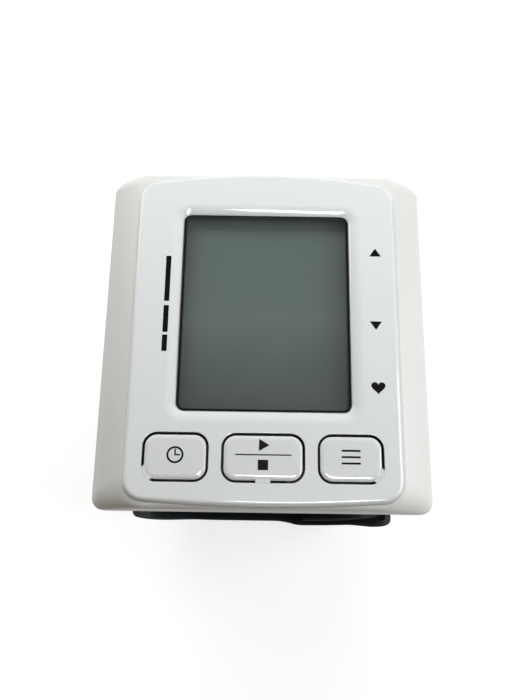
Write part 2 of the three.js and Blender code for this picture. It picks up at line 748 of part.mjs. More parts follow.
const cells = [
  { name: "battery_outer", spring: "contact_spring_front", centre: outerCell, nubSide: 1 },
  { name: "battery_inner", spring: "contact_spring_back", centre: innerCell, nubSide: -1 },
];
const discFace = pocketHalf - clearance - contactThickness;
const nubEnd = discFace - clearance;
const shoulderEnd = nubEnd - nubLength;
const tailEnd = nubEnd - cellLength;
for (const { name, spring, centre, nubSide } of cells) {
  const turned = (low, high) => (nubSide > 0 ? [low, high] : [-high, -low]);
  const can = rod("y", cellRadius, ...turned(tailEnd, shoulderEnd), centre, 24);
  const nub = rod("y", nubRadius, ...turned(0, nubEnd), centre);
  addPart(name, can.add(nub), 0x3a6ea5, 0.35, 0.3);
  const coilStart = -nubSide * (discFace - clearance - springWire);
  const coil = new ContactCoil(centre, coilStart, springLength - 2 * springWire, nubSide);
  console.log(`${spring}: least gap between turns ${leastGap(coil, springWire).toFixed(2)} mm`);
  addPart(spring, tubeAlong(coil, springWire, 8 * springTurns, 5), 0xb8b8b4, 0.3, 1);
}

const contactDisc = (centre) =>
  rod("y", contactRadius, -discFace - contactThickness, -discFace, centre, 16);

// Plate with round ends that joins the two cells at the back
const linkAngle = Math.atan2(innerCell[1] - outerCell[1], innerCell[0] - outerCell[0]);
const linkPoints = [];
for (const [centre, start] of [[outerCell, linkAngle + Math.PI / 2], [innerCell, linkAngle - Math.PI / 2]]) {
  const endSteps = 8;
  for (let i = 0; i <= endSteps; i += 1) {
    const angle = start + (i / endSteps) * Math.PI;
    const px = centre[0] + contactRadius * Math.cos(angle);
    linkPoints.push(new THREE.Vector2(px, centre[1] + contactRadius * Math.sin(angle)));
  }
}
const link = alongY(linkPoints, discFace, discFace + contactThickness);
addPart("contact_link", link, 0xc0bfb8, 0.3, 1);
addPart("contact_negative", contactDisc(outerCell), 0xc0bfb8, 0.3, 1);
addPart("contact_positive", contactDisc(innerCell), 0xc0bfb8, 0.3, 1);

// Air pump: motor, turning shaft with its eccentric, and the diaphragm head
const pumpAxis = [pumpX, pumpZ];
const shaftFront = motorBack - shaftDepth;
const shaftBack = motorBack + shaftReach;
const shaftBore = rod("y", shaftRadius + clearance, shaftFront - clearance, far, pumpAxis);
const motor = rod("y", pumpRadius, motorFront, motorBack, pumpAxis, 24);
addPart("pump_motor", motor.subtract(shaftBore), 0xb9bbbd, 0.3, 1);
const shaft = rod("y", shaftRadius, shaftFront, shaftBack, pumpAxis);
const eccentricPlace = [pumpX + eccentricOffset, pumpZ];
const eccentric = rod("y", eccentricRadius, shaftBack - eccentricThickness, shaftBack, eccentricPlace, 20);
addPart("pump_shaft", shaft.add(eccentric), 0x9da0a3, 0.3, 1);
const chamberRadius = eccentricOffset + eccentricRadius + 2 * clearance;
const nozzleEnd = pumpEnd + nozzleLength;
let pumpHead = rod("y", pumpRadius, headFront, pumpEnd, pumpAxis, 24);
pumpHead = pumpHead.add(rod("y", nozzleRadius, pumpEnd - nozzleRoot, nozzleEnd, pumpAxis));
pumpHead = pumpHead.subtract(rod("y", chamberRadius, -far, shaftBack + chamberRoom, pumpAxis, 20));
pumpHead = pumpHead.subtract(rod("y", nozzleBore, headFront, far, pumpAxis, 8));
addPart("pump_head", pumpHead, 0x2b2b2d, 0.5);

// Air port into the cuff, the manifold on it, the bleed valve and the tubes between them
const bladderTop = axisZ + wristRadius + linerThickness + clearance + bladderThickness;
let airPort = rod("z", portRadius, bladderTop + clearance, portTop, [ringX, portY], 16);
airPort = airPort.add(rod("z", portFlange, flangeLow, flangeTop, [ringX, portY], 20));
airPort = airPort.subtract(rod("z", portBore, 0, far, [ringX, portY], 10));
addPart("air_port", airPort, 0xdedcd6, 0.4);

const manifoldBack = Math.max(tubeY, portY);
let manifold = rod("y", manifoldRadius, manifoldFront, manifoldBack, [ringX, airZ]);
manifold = manifold.add(rod("z", manifoldRadius, manifoldLow, airZ, [ringX, portY]));
manifold = manifold.add(rod("x", manifoldRadius, ringX, manifoldRight, [portY, airZ]));
manifold = manifold.add(rod("x", manifoldRadius, ringX - manifoldRadius, manifoldRight, [tubeY, airZ]));
manifold = manifold.subtract(rod("x", manifoldBore, ringX, far, [tubeY, airZ], 8));
addPart("air_manifold", manifold, 0xd4d2cc, 0.45);

const valvePlungerLength = valveLength + valvePlungerOut - valveEndWall - valvePlungerRoom;
const valvePlungerFront = valveFront - valvePlungerOut;
const valvePlungerBack = valvePlungerFront + valvePlungerLength;
let valve = rod("y", valveRadius, valveFront, valveBack, valveAxis, 24);
valve = valve.add(rod("y", nozzleRadius, valveBack - valveEndWall / 2, valveNozzleEnd, valveAxis));
valve = valve.subtract(
  rod("y", valvePlungerRadius + clearance, -far, valveBack - valveEndWall, valveAxis, 16),
);
addPart("bleed_valve", valve, 0x3c3c40, 0.4, 0.4);
const valvePlunger = rod("y", valvePlungerRadius, valvePlungerFront, valvePlungerBack, valveAxis, 16);
addPart("valve_plunger", valvePlunger, 0xa0a2a4, 0.3, 1);

function airTube(name, points, steps) {
  const curve = new THREE.CatmullRomCurve3(points.map((p) => new THREE.Vector3(...p)));
  addPart(name, tubeAlong(curve, tubeRadius, steps, 8), 0xd8d3c4, 0.6);
}

const pumpTubeStart = nozzleEnd + clearance;
const pumpTubeEnd = manifoldRight + clearance;
const tubeRun = pumpX - pumpTubeEnd; // across the unit, from the pump to the manifold
airTube(
  "pump_tube",
  [
    [pumpX, pumpTubeStart, pumpZ],
    [pumpX, pumpTubeStart + tubeBend / 4, pumpZ],
    [pumpX - tubeRun / 10, tubeY - tubeBend / 3, pumpZ + (airZ - pumpZ) / 8],
    [pumpX - tubeRun / 3, tubeY, pumpZ + (airZ - pumpZ) / 2],
    [pumpX - (tubeRun * 2) / 3, tubeY, airZ - (airZ - pumpZ) / 10],
    [pumpTubeEnd + tubeRadius, tubeY, airZ],
    [pumpTubeEnd, tubeY, airZ],
  ],
  16,
);
airTube("valve_tube", [[ringX, valveTubeFront, valveZ], [ringX, valveTubeBack, airZ]], 2);
const sensorTubeEnd = sensorNozzleEnd - clearance;
airTube("sensor_tube", [[pumpTubeEnd, portY, airZ], [sensorTubeEnd, portY, airZ]], 2);

// Cuff layers are drawn as bands along arcs; a band lies between two depths below the outer face
function arcPoints(centreX, radius, start, end) {
  const steps = Math.max(2, Math.ceil(Math.abs(end - start) / bendStep));
  const points = [];
  for (let i = 0; i <= steps; i += 1) {
    const angle = (start + ((end - start) * i) / steps) * degree;
    points.push(
      new THREE.Vector2(centreX + radius * Math.cos(angle), axisZ + radius * Math.sin(angle)),
    );
  }
  return points;
}

function band(path, outerDepth, innerDepth, lowY, highY) {
  const outer = path(outerDepth);
  const inner = path(innerDepth);
  return alongY([...outer, ...inner.reverse()], lowY, highY);
}

// Angle, in degrees, that a length takes on a radius
const angleOf = (length, radius) => length / radius / degree;
const bendGap = angleOf(clearance / 2, lowerRadius); // each side of a bending line

// Unit's own part of the cuff: over the wrist from the left bend to the tip of the short wing
const topPath = (margin) => (depth) =>
  arcPoints(ringX, cuffRadius - depth, 180 - margin, margin);
const wingPath = (trim) => (depth) => [
  ...arcPoints(ringX, cuffRadius - depth, 180 - bendGap, 0),
  ...arcPoints(rightX, shortRadius - depth, 0, trim - shortTipAngle).slice(1),
];
const wingTipPath = (trim) => (depth) =>
  arcPoints(rightX, shortRadius - depth, trim - shortTipAngle, -shortTipAngle);

// Strap: down the left side, flat under the wrist and up over the short wing
const shortTipX = rightX + shortRadius * Math.cos(shortTipAngle * degree);
const joinX = Math.min(rightX, shortTipX) - lapLead;
const strapPath = (endX) => (depth) => [
  ...arcPoints(leftX, lowerRadius - depth, 180 + bendGap, 270),
  new THREE.Vector2(endX, depth),
];
const lapPath = (startX) => (depth) => [
  new THREE.Vector2(startX, depth),
  ...arcPoints(rightX, lowerRadius - depth, -90, -peelAngle - bendGap),
];

// Loose end: from the peeling line up the right side
const tailRadius = cuffRadius + lapOffset;
const tailPath = (trim) => (depth) => [
  ...arcPoints(rightX, lowerRadius - depth, -peelAngle + bendGap, 0),
  ...arcPoints(ringX, tailRadius - depth, 0, tailAngle - trim).slice(1),
];
const tailTipPath = (trim) => (depth) => arcPoints(ringX, tailRadius - depth, tailAngle - trim, tailAngle);

const cuffHalf = cuffWidth / 2;
const layerHalf = cuffHalf - bindingWidth - clearance;

function layer(path, outerDepth, innerDepth, shift = 0) {
  return band(path, outerDepth, innerDepth, shift - layerHalf, shift + layerHalf);
}

// Edge bindings of one band: a strip along each edge
function edgeStrips(path, depth, shift) {
  return [-1, 1].map((side) => {
    const edge = side * cuffHalf + shift;
    const inside = edge - side * bindingWidth;
    return band(path, bindingInset, depth, Math.min(edge, inside), Math.max(edge, inside));
  });
}

function tipStrip(path, depth, shift) {
  const half = cuffHalf - bindingTuck;
  return band(path, bindingInset, depth, shift - half, shift + half);
}

const wingTrim = angleOf(bindingWidth + clearance, shortRadius);
const wingTipWidth = angleOf(bindingWidth, shortRadius);
const wingCover = layer(wingPath(wingTrim), 0, coverThickness);
addPart("cuff_cover_wing", wingCover.subtract(portHole), 0x23282b, 0.9);
const stiffenerDepth = coverThickness + clearance;
const stiffenerUnder = stiffenerDepth + stiffenerThickness;
const stiffener = layer(topPath(stiffenerMargin), stiffenerDepth, stiffenerUnder);
addPart("cuff_stiffener", stiffener.subtract(portHole), 0xcfd2d0, 0.5);
const bladderDepth = stiffenerUnder + clearance;
const bladder = layer(topPath(bladderMargin), bladderDepth, bladderDepth + bladderThickness);
addPart("air_bladder", bladder, 0x5a5f63, 0.5);
const wingLiner = layer(wingPath(wingTrim), cuffThickness - linerThickness, cuffThickness);
addPart("cuff_liner_wing", wingLiner, 0x2b3033, 0.85);
const [wingFront, wingBack] = edgeStrips(wingPath(0), cuffThickness, 0);
const wingTip = tipStrip(wingTipPath(wingTipWidth), cuffThickness, 0);
addPart("cuff_binding_wing", wingFront.add(wingBack).add(wingTip), 0x17191b, 0.9);

const strapEnd = joinX - seam - clearance;
const strapFlat = layer(strapPath(strapEnd), 0, coverThickness);
const strapLap = layer(lapPath(joinX), 0, strapThickness, -lapShift);
const strapBridge = box(strapEnd - seam, joinX + seam, -layerHalf, layerHalf - lapShift, 0, coverThickness);
addPart("cuff_cover_strap", strapFlat.add(strapBridge).add(strapLap), 0x23282b, 0.9);
const strapLiner = layer(strapPath(strapEnd), coverThickness + clearance, cuffThickness);
addPart("cuff_liner_strap", strapLiner, 0x2b3033, 0.85);
const flatEdges = edgeStrips(strapPath(joinX - clearance), cuffThickness, 0);
const lapEdges = edgeStrips(lapPath(joinX - seam), strapThickness, -lapShift);
addPart("cuff_binding_strap_front", flatEdges[0].add(lapEdges[0]), 0x17191b, 0.9);
addPart("cuff_binding_strap_back", flatEdges[1].add(lapEdges[1]), 0x17191b, 0.9);

const tailTrim = angleOf(bindingWidth + clearance, tailRadius);
const tailTipWidth = angleOf(bindingWidth, tailRadius);
const hookDepth = strapThickness - hookThickness;
const tailCover = layer(tailPath(tailTrim), 0, hookDepth - clearance, -lapShift);
addPart("cuff_cover_tail", tailCover, 0x23282b, 0.9);
const hookPatch = layer(tailPath(tailTrim), hookDepth, strapThickness, -lapShift);
addPart("hook_patch", hookPatch, 0x111213, 0.95);
const [tailFront, tailBack] = edgeStrips(tailPath(0), strapThickness, -lapShift);
const tailTip = tipStrip(tailTipPath(tailTipWidth), strapThickness, -lapShift);
addPart("cuff_binding_tail", tailFront.add(tailBack).add(tailTip), 0x17191b, 0.9);

export default monitor;
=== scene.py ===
import math

import bmesh
import bpy
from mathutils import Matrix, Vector


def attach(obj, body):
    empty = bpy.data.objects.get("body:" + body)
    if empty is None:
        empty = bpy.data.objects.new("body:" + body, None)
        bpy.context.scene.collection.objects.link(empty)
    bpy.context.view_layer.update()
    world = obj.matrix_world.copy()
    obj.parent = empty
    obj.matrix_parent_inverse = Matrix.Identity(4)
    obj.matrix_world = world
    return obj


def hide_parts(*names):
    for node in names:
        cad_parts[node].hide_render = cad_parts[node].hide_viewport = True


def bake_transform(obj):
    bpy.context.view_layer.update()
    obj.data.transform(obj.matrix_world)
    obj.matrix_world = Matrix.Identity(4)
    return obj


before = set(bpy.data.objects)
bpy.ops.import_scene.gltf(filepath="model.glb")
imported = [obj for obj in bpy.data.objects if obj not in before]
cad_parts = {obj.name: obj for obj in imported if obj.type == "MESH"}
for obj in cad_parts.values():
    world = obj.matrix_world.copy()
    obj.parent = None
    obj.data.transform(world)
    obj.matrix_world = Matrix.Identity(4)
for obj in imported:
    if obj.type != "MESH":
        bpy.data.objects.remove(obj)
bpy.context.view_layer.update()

bpy.ops.object.select_all(action="DESELECT")

# Studio: a pale floor that reads white to the camera and keeps the object's shadow,
# soft lights from behind, left and right, an oval overhead lamp seen only in reflections,
# and a camera standing over the near edge, looking down at the display.
scene = bpy.context.scene
scene.view_settings.view_transform = "Standard"

camera = bpy.data.objects.new("camera", bpy.data.cameras.new("camera"))
scene.collection.objects.link(camera)
camera.data.sensor_width = 36
camera.data.lens = 37.8
camera.location = (-0.00072, -0.04945, 0.22894)
camera.rotation_mode = "ZYX"
camera.rotation_euler = (0.28987611, -0.00183433, 0.01498462)
scene.camera = camera


def connect(tree, node, sockets):
    # each socket takes a value, or is linked to another node's output
    for socket, value in sockets.items():
        if isinstance(value, bpy.types.NodeSocket):
            tree.links.new(value, node.inputs[socket])
        else:
            node.inputs[socket].default_value = value


def add_node(tree, kind, sockets=None, **settings):
    node = tree.nodes.new("ShaderNode" + kind)
    for setting, value in settings.items():
        setattr(node, setting, value)
    connect(tree, node, sockets or {})
    return node


def reckon(tree, operation, first, second=None):
    # one step of arithmetic on values or sockets
    sockets = {0: first} if second is None else {0: first, 1: second}
    return add_node(tree, "Math", sockets, operation=operation).outputs[0]


def spread(tree, value, low, high, start=0, end=1):
    # a value stretched from one range to another
    return add_node(tree, "MapRange", {
        "Value": value, "From Min": start, "From Max": end, "To Min": low, "To Max": high,
    }).outputs[0]


world = bpy.data.worlds.new("studio")
scene.world = world
world.use_nodes = True
tree = world.node_tree
air = tree.nodes["Background"]
connect(tree, air, {"Color": (1, 0.89, 0.74, 1), "Strength": 0.16})
backdrop = add_node(tree, "Background", {"Color": (1, 1, 1, 1)})
sight = add_node(tree, "LightPath").outputs["Is Camera Ray"]
choice = add_node(tree, "MixShader", {0: sight, 1: air.outputs[0], 2: backdrop.outputs[0]})
connect(tree, tree.nodes["World Output"], {"Surface": choice.outputs[0]})


def add_lamp(name, place, aim, width, height, power, tint):
    lamp = bpy.data.lights.new(name, "AREA")
    lamp.color = tint
    lamp.shape = "RECTANGLE"
    lamp.size = width
    lamp.size_y = height
    lamp.energy = power
    holder = bpy.data.objects.new(name, lamp)
    holder.location = place
    holder.rotation_euler = (Vector(place) - Vector(aim)).to_track_quat("Z", "Y").to_euler()
    scene.collection.objects.link(holder)
    return holder


unit_middle = (0, 0, 0.07)
back_light = add_lamp("back_light", (-0.02, 0.17, 0.22), unit_middle, 0.3, 0.1, 0.39, (0.97, 1, 1.03))
back_light.visible_glossy = False
add_lamp("left_light", (-0.25, 0.22, 0.25), unit_middle, 0.2, 0.2, 0.39, (0.97, 1, 1.02))
add_lamp("right_light", (0.24, -0.03, 0.2), unit_middle, 0.18, 0.18, 0.48, (0.97, 1, 1.04))
oval_lamp = add_lamp("front_shine", (0.052, -0.076, 0.55), (0.052, -0.066, 0), 0.2, 0.062, 0.95, (1, 1, 1))
oval_lamp.data.shape = "ELLIPSE"
oval_lamp.rotation_euler.rotate_axis("Z", math.radians(-40))
oval_lamp.visible_diffuse = False

bpy.ops.mesh.primitive_plane_add(size=4, location=(0, 0, 0))
floor = bpy.context.object
floor.name = "floor"
floor_paint = bpy.data.materials.new("floor_paint")
floor_paint.use_nodes = True
tree = floor_paint.node_tree
tree.nodes.clear()
matt = add_node(tree, "BsdfDiffuse", {"Color": (0.5, 0.5, 0.5, 1)}).outputs[0]
spot = add_node(tree, "TexCoord").outputs["Object"]
distance = add_node(tree, "VectorMath", {0: spot}, operation="LENGTH").outputs["Value"]
glow = add_node(tree, "Emission", {"Strength": spread(tree, distance, 0.74, 1.0, 0.1, 0.3)}).outputs[0]
lit = add_node(tree, "AddShader", {0: matt, 1: glow}).outputs[0]
ray = add_node(tree, "LightPath").outputs
seen = reckon(tree, "MAXIMUM", ray["Is Camera Ray"], ray["Is Glossy Ray"])
gate = add_node(tree, "MixShader", {0: seen, 1: matt, 2: lit}).outputs[0]
add_node(tree, "OutputMaterial", {"Surface": gate})
floor.data.materials.append(floor_paint)

# Cuff cover: dark looped nylon, cut as one long strip and sewn into the cuff with its edges pressed thin
# under the binding. The strip is shown in four lengths: over the wrist, round the left bend that opens,
# flat under the wrist, and the loose end that laps over the short wing on the right.
mm = 0.001
ring_x = -1.35 * mm
left_x = -10.85 * mm
right_x = 10.85 * mm
axis_z = 24 * mm
cuff_radius = 33.5 * mm
lower_radius = 24 * mm
short_radius = 21.3 * mm
tail_radius = 36.2 * mm
lap_shift = -1.1 * mm
side_shift = -1.1 * mm
join_x = 9.35 * mm
bend_top = 125  # degrees round the wrist, hidden under the unit
short_tip = -85
peel = -35
tail_tip = 25
bend_step = 3
straight_step = 2 * mm


def face_through(name, points):
    bpy.ops.object.select_all(action="DESELECT")
    bpy.ops.mesh.primitive_circle_add(vertices=len(points), radius=mm, fill_type="NGON")
    piece = bpy.context.object
    piece.name = name
    for corner, place in zip(piece.data.vertices, points):
        corner.co = place
    piece.location = (0, 0, 0)
    return piece


def sweep(name, centre_x, radius, start, section, runs):
    # section holds (depth below the outer face, place across), runs the bends and straight lengths in turn
    turn = math.radians(start)
    points = []
    for depth, across in section:
        reach = radius - depth * mm
        place_x = centre_x + reach * math.cos(turn)
        points.append((place_x, across * mm, axis_z + reach * math.sin(turn)))
    piece = face_through(name, points)
    bpy.ops.object.mode_set(mode="EDIT")
    bpy.ops.mesh.select_all(action="SELECT")
    for run in runs:
        if run[0] == "bend":
            _, about, first, last = run
            count = max(2, round(abs(last - first) / bend_step))
            bpy.ops.mesh.spin(
                steps=count, angle=math.radians(last - first), center=(about, 0, axis_z), axis=(0, 1, 0),
            )
        else:
            length = run[1]
            count = max(1, round(abs(length) / straight_step))
            for _ in range(count):
                bpy.ops.mesh.extrude_region_move(TRANSFORM_OT_translate={"value": (length / count, 0, 0)})
    bpy.ops.mesh.select_all(action="SELECT")
    bpy.ops.mesh.remove_doubles(threshold=1e-6)
    bpy.ops.mesh.normals_make_consistent(inside=False)
    bpy.ops.object.mode_set(mode="OBJECT")
    return piece


def ease_forward(piece):
    # the strap runs forward in a gentle curve before it laps the short wing, and again up its right side
    for corner in piece.data.vertices:
        for start, length, shift in ((4.5, 8, lap_shift), (25, 9, side_shift)):
            share = min(max((corner.co.x / mm - start) / length, 0), 1)
            corner.co.y += shift * share * share * (3 - 2 * share)


def flare(piece):
    # the two edges spread a little where the cuff turns round the left bend
    for corner in piece.data.vertices:
        share = min(max((-corner.co.x / mm - 18) / 15, 0), 1)
        below = min(max((46 - corner.co.z / mm) / 16, 0), 1)
        corner.co.y *= 1 + 0.026 * below * share * share * (3 - 2 * share)


def wing_run(x, z):
    # length along the strip from the left bend, over the wrist and down to the short tip
    turn = math.atan2(z - axis_z, x - ring_x)
    if z >= axis_z:
        return cuff_radius * (math.pi - turn)
    if x < ring_x:
        return -lower_radius * math.atan2(axis_z - z, left_x - x)
    return cuff_radius * math.pi - short_radius * math.atan2(z - axis_z, x - right_x)


def strap_run(x, z):
    # length along the strip from the left bend, under the wrist and up to the loose tip
    quarter = lower_radius * math.pi / 2
    if x < left_x:
        return lower_radius * math.atan2(axis_z - z, left_x - x)
    if x < right_x:
        return quarter + x - left_x
    base = quarter + right_x - left_x
    if z < axis_z:
        return base + lower_radius * (math.atan2(z - axis_z, x - right_x) + math.pi / 2)
    return base + quarter + tail_radius * math.atan2(z - axis_z, x - ring_x)


def pick(*pieces):
    bpy.ops.object.select_all(action="DESELECT")
    for piece in pieces:
        piece.select_set(True)
    bpy.context.view_layer.objects.active = pieces[0]


def lay_flat(piece, run):
    # soft shading, and a UV map in metres along the strip and across it
    chart = piece.data.uv_layers.new(name="strip")
    for loop in piece.data.loops:
        place = piece.data.vertices[loop.vertex_index].co
        chart.data[loop.index].uv = (run(place.x, place.z), place.y)
    pick(piece)
    bpy.ops.object.shade_smooth_by_angle(angle=math.radians(50))


def fit(piece, body, material, node=None):
    # a finished piece gets its material, stands for its solid and moves with its body
    piece.data.materials.append(material)
    if node:
        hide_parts(node)
    if body:
        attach(piece, body)


def start_material(name):
    material = bpy.data.materials.new(name)
    material.use_nodes = True
    return material, material.node_tree, material.node_tree.nodes["Principled BSDF"]


def start_group(name, inputs, outputs):
    group = bpy.data.node_groups.new(name, "ShaderNodeTree")
    for in_out, sockets in (("INPUT", inputs), ("OUTPUT", outputs)):
        for socket in sockets:
            group.interface.new_socket(socket, in_out=in_out, socket_type="NodeSocketFloat")
    return group, group.nodes.new("NodeGroupInput").outputs, group.nodes.new("NodeGroupOutput")


def tones(tree, value, stops, interpolation="LINEAR"):
    # colours that follow a value, each stop a place and a colour
    ramp = add_node(tree, "ValToRGB", {0: value})
    ramp.color_ramp.interpolation = interpolation
    elements = ramp.color_ramp.elements
    for i, (place, colour) in enumerate(stops):
        stop = elements[i] if i < 2 else elements.new(place)
        stop.position = place
        stop.color = (*colour, 1)
    return ramp.outputs[0]


def noise(tree, place, scale, detail=2):
    return add_node(tree, "TexNoise", {"Vector": place, "Scale": scale, "Detail": detail}).outputs[0]


# Woven cloth: warp and weft threads that pass over and under each other, with uneven dye, and painted shade
# that darkens the threads where they dip under
weave, given, woven_out = start_group("weave", ("Threads", "Fuzz"), ("Height", "Dye_and_shade"))
chart = add_node(weave, "UVMap", uv_map="strip").outputs["UV"]
split = add_node(weave, "SeparateXYZ", {0: chart}).outputs
wave_along = reckon(weave, "SINE", reckon(weave, "MULTIPLY", split["X"], given["Threads"]))
wave_across = reckon(weave, "SINE", reckon(weave, "MULTIPLY", split["Y"], given["Threads"]))
crossing = reckon(weave, "MULTIPLY", wave_along, wave_across)
raised = reckon(weave, "MULTIPLY", crossing, 0.5)
# painted shade: the colour follows the height of the weave, lighter on the crests and darker where the
# threads dip under
painted_thread_shade = reckon(weave, "MULTIPLY", crossing, 0.22)
fuzz = noise(weave, chart, 2600, 3)
patches = noise(weave, chart, 160, 4)
connect(weave, woven_out, {
    "Height": reckon(weave, "ADD", raised, reckon(weave, "MULTIPLY", fuzz, given["Fuzz"])),
    "Dye_and_shade": reckon(weave, "ADD", patches, painted_thread_shade),
})


def cloth(name, dark, light, threads, fuzz, depth, roughness, sheen):
    material, tree, shader = start_material(name)
    woven = add_node(tree, "Group", {"Threads": threads, "Fuzz": fuzz}, node_tree=weave).outputs
    bump = add_node(tree, "Bump", {"Strength": 0.8, "Distance": depth, "Height": woven["Height"]})
    connect(tree, shader, {
        "Base Color": tones(tree, woven["Dye_and_shade"], [(0.25, dark), (0.8, light)]),
        "Normal": bump.outputs[0],
        "Roughness": roughness,
        "Specular IOR Level": 0.15,
        "Sheen Weight": sheen,
        "Sheen Roughness": 0.5,
    })
    return material


def join(pieces):
    pick(*pieces)
    bpy.ops.object.join()
    return pieces[0]


loop_nylon = cloth(
    "loop_nylon", (0.008, 0.013, 0.016), (0.019, 0.029, 0.035), 7000, 0.9, 0.00012, 0.85, 0.08,
)

edge_places = [-32.6, -31.9, -31.1, -30.1, -15, 0, 15, 30.1, 31.1, 31.9, 32.6]
pressed = [0.75, 0.72, 0.3, 0.02, 0, 0, 0, 0.02, 0.3, 0.72, 0.75]
outer_face = list(zip(pressed, edge_places))
cover_section = outer_face + [(1.2, place) for place in edge_places[::-1]]
lap_section = outer_face + [(2.4 - 0.5 * depth, place) for depth, place in outer_face[::-1]]

wing_path = [("bend", ring_x, bend_top, 0), ("bend", right_x, 0, short_tip + 7)]
cover_wing = sweep("cover_wing", ring_x, cuff_radius, bend_top, cover_section, wing_path)
lay_flat(cover_wing, wing_run)
fit(cover_wing, "unit", loop_nylon, "cuff_cover_wing")

bend_path = [("bend", ring_x, bend_top, 180), ("bend", left_x, 180, 270)]
cover_bend = sweep("cover_bend", ring_x, cuff_radius, bend_top, cover_section, bend_path)
lay_flat(cover_bend, wing_run)
flare(cover_bend)
fit(cover_bend, None, loop_nylon)
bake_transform(cover_bend)

lap_start = 60  # degrees below the axis where the loose end takes over from the strap
lap_path = [("straight", right_x - join_x), ("bend", right_x, -90, -lap_start)]
cover_strap = join([
    sweep("cover_strap", left_x, lower_radius, 270, cover_section, [("straight", join_x - left_x)]),
    sweep("cover_lap", join_x, lower_radius, 270, lap_section, lap_path),
])
lay_flat(cover_strap, strap_run)
ease_forward(cover_strap)
fit(cover_strap, "cuff_strap", loop_nylon, "cuff_cover_strap")

cover_tail = join([
    sweep(
        "cover_tail", right_x, lower_radius, -lap_start, lap_section,
        [("bend", right_x, -lap_start, peel)],
    ),
    sweep(
        "cover_tail_end", right_x, lower_radius, peel, cover_section,
        [("bend", right_x, peel, 0), ("bend", ring_x, 0, tail_tip - 4)],
    ),
])
lay_flat(cover_tail, strap_run)
ease_forward(cover_tail)
fit(cover_tail, None, loop_nylon, "cuff_cover_tail")
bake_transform(cover_tail)

# Cuff liner: soft brushed cloth against the wrist, with a thin foam backing under the wrist.
# It is sewn into the same bound edges as the cover.
brushed_cloth = cloth(
    "brushed_cloth", (0.014, 0.017, 0.019), (0.03, 0.035, 0.038), 5200, 1.6, 0.00016, 0.9, 0.5,
)
worn_face = [(5 - depth, place) for depth, place in outer_face[::-1]]
liner_section = [(4.1, place) for place in edge_places] + worn_face
foam_section = [(1.5 + depth, place) for depth, place in outer_face] + worn_face
liner_end = 8.05 * mm

liner_wing = sweep("liner_wing", ring_x, cuff_radius, bend_top, liner_section, wing_path)
lay_flat(liner_wing, wing_run)
fit(liner_wing, "unit", brushed_cloth, "cuff_liner_wing")

liner_bend = join([
    sweep("liner_bend", ring_x, cuff_radius, bend_top, liner_section, [("bend", ring_x, bend_top, 180)]),
    sweep("liner_bend_foam", left_x, lower_radius, 180, foam_section, [("bend", left_x, 180, 270)]),
])
lay_flat(liner_bend, wing_run)
flare(liner_bend)
fit(liner_bend, None, brushed_cloth)
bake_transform(liner_bend)

liner_strap = sweep(
    "liner_strap", left_x, lower_radius, 270, foam_section, [("straight", liner_end - left_x)],
)
lay_flat(liner_strap, strap_run)
ease_forward(liner_strap)
fit(liner_strap, "cuff_strap", brushed_cloth, "cuff_liner_strap")

# Cuff binding: ribbed tape folded over the raw edges of cover and liner and stitched through,
# with a straight length across each tip. The lapped end sits a little forward of the rest.
ribbed_tape = cloth(
    "ribbed_tape", (0.004, 0.0075, 0.009), (0.011, 0.021, 0.026), 9000, 0.4, 0.0002, 0.8, 0.05,
)

# its stitches: a row of dashes along the tape, paler than the cloth
stitch_pitch = 0.0024
stitch_line = 0.0325
tree = ribbed_tape.node_tree
shader = tree.nodes["Principled BSDF"]
chart = add_node(tree, "UVMap", uv_map="strip").outputs["UV"]
split = add_node(tree, "SeparateXYZ", {0: chart}).outputs
pace = reckon(tree, "FRACT", reckon(tree, "MULTIPLY", split["X"], 1 / stitch_pitch))
dash = reckon(tree, "LESS_THAN", pace, 0.68)
off_line = reckon(tree, "SUBTRACT", reckon(tree, "ABSOLUTE", split["Y"]), stitch_line)
on_line = reckon(tree, "LESS_THAN", reckon(tree, "ABSOLUTE", off_line), 0.0002)
stitched = add_node(tree, "Mix", {
    0: reckon(tree, "MULTIPLY", dash, on_line),
    6: shader.inputs["Base Color"].links[0].from_socket,
    7: (0.035, 0.045, 0.05, 1),
}, data_type="RGBA")
connect(tree, shader, {"Base Color": stitched.outputs[2]})


def binding_section(side, thick):
    low = thick - 0.15
    edge = [
        (0.15, 31.5), (0.13, 34), (0.28, 34.8), (0.75, 35.3), (thick / 2, 35.48),
        (thick - 0.75, 35.3), (thick - 0.28, 34.8), (low, 34), (low, 31.5),
    ]
    if thick > 3:
        edge += [(low - 0.5, 31.5), (low - 0.55, 32.8), (0.7, 32.8), (0.65, 31.5)]
    else:
        edge += [(low - 0.3, 31.5), (low - 0.35, 32.8), (0.8, 32.8), (0.72, 31.5)]
    return [(depth, side * across) for depth, across in edge]


def tip_section(thick):
    return [
        (0.2, -34.8), (0.2, 34.8), (0.5, 35), (thick - 0.5, 35),
        (thick - 0.2, 34.8), (thick - 0.2, -34.8), (thick - 0.5, -35), (0.5, -35),
    ]


binding_wing = []
binding_bend = []
binding_strap = {}
binding_tail = []
for side, place in ((-1, "front"), (1, "back")):
    full = binding_section(side, 5)
    thin = binding_section(side, 2.4)
    binding_wing.append(sweep(
        "binding_wing", ring_x, cuff_radius, bend_top, full,
        [("bend", ring_x, bend_top, 0), ("bend", right_x, 0, short_tip)],
    ))
    binding_bend.append(sweep("binding_bend", ring_x, cuff_radius, bend_top, full, bend_path))
    binding_strap[place] = join([
        sweep(f"binding_strap_{place}", left_x, lower_radius, 270, full, [("straight", join_x - left_x)]),
        sweep("binding_lap", join_x, lower_radius, 270, thin, lap_path),
    ])
    binding_tail.append(sweep(
        "binding_tail", right_x, lower_radius, -lap_start, thin,
        [("bend", right_x, -lap_start, 0), ("bend", ring_x, 0, tail_tip)],
    ))
binding_wing.append(sweep(
    "binding_wing_tip", right_x, short_radius, short_tip + 7, tip_section(5),
    [("bend", right_x, short_tip + 7, short_tip)],
))
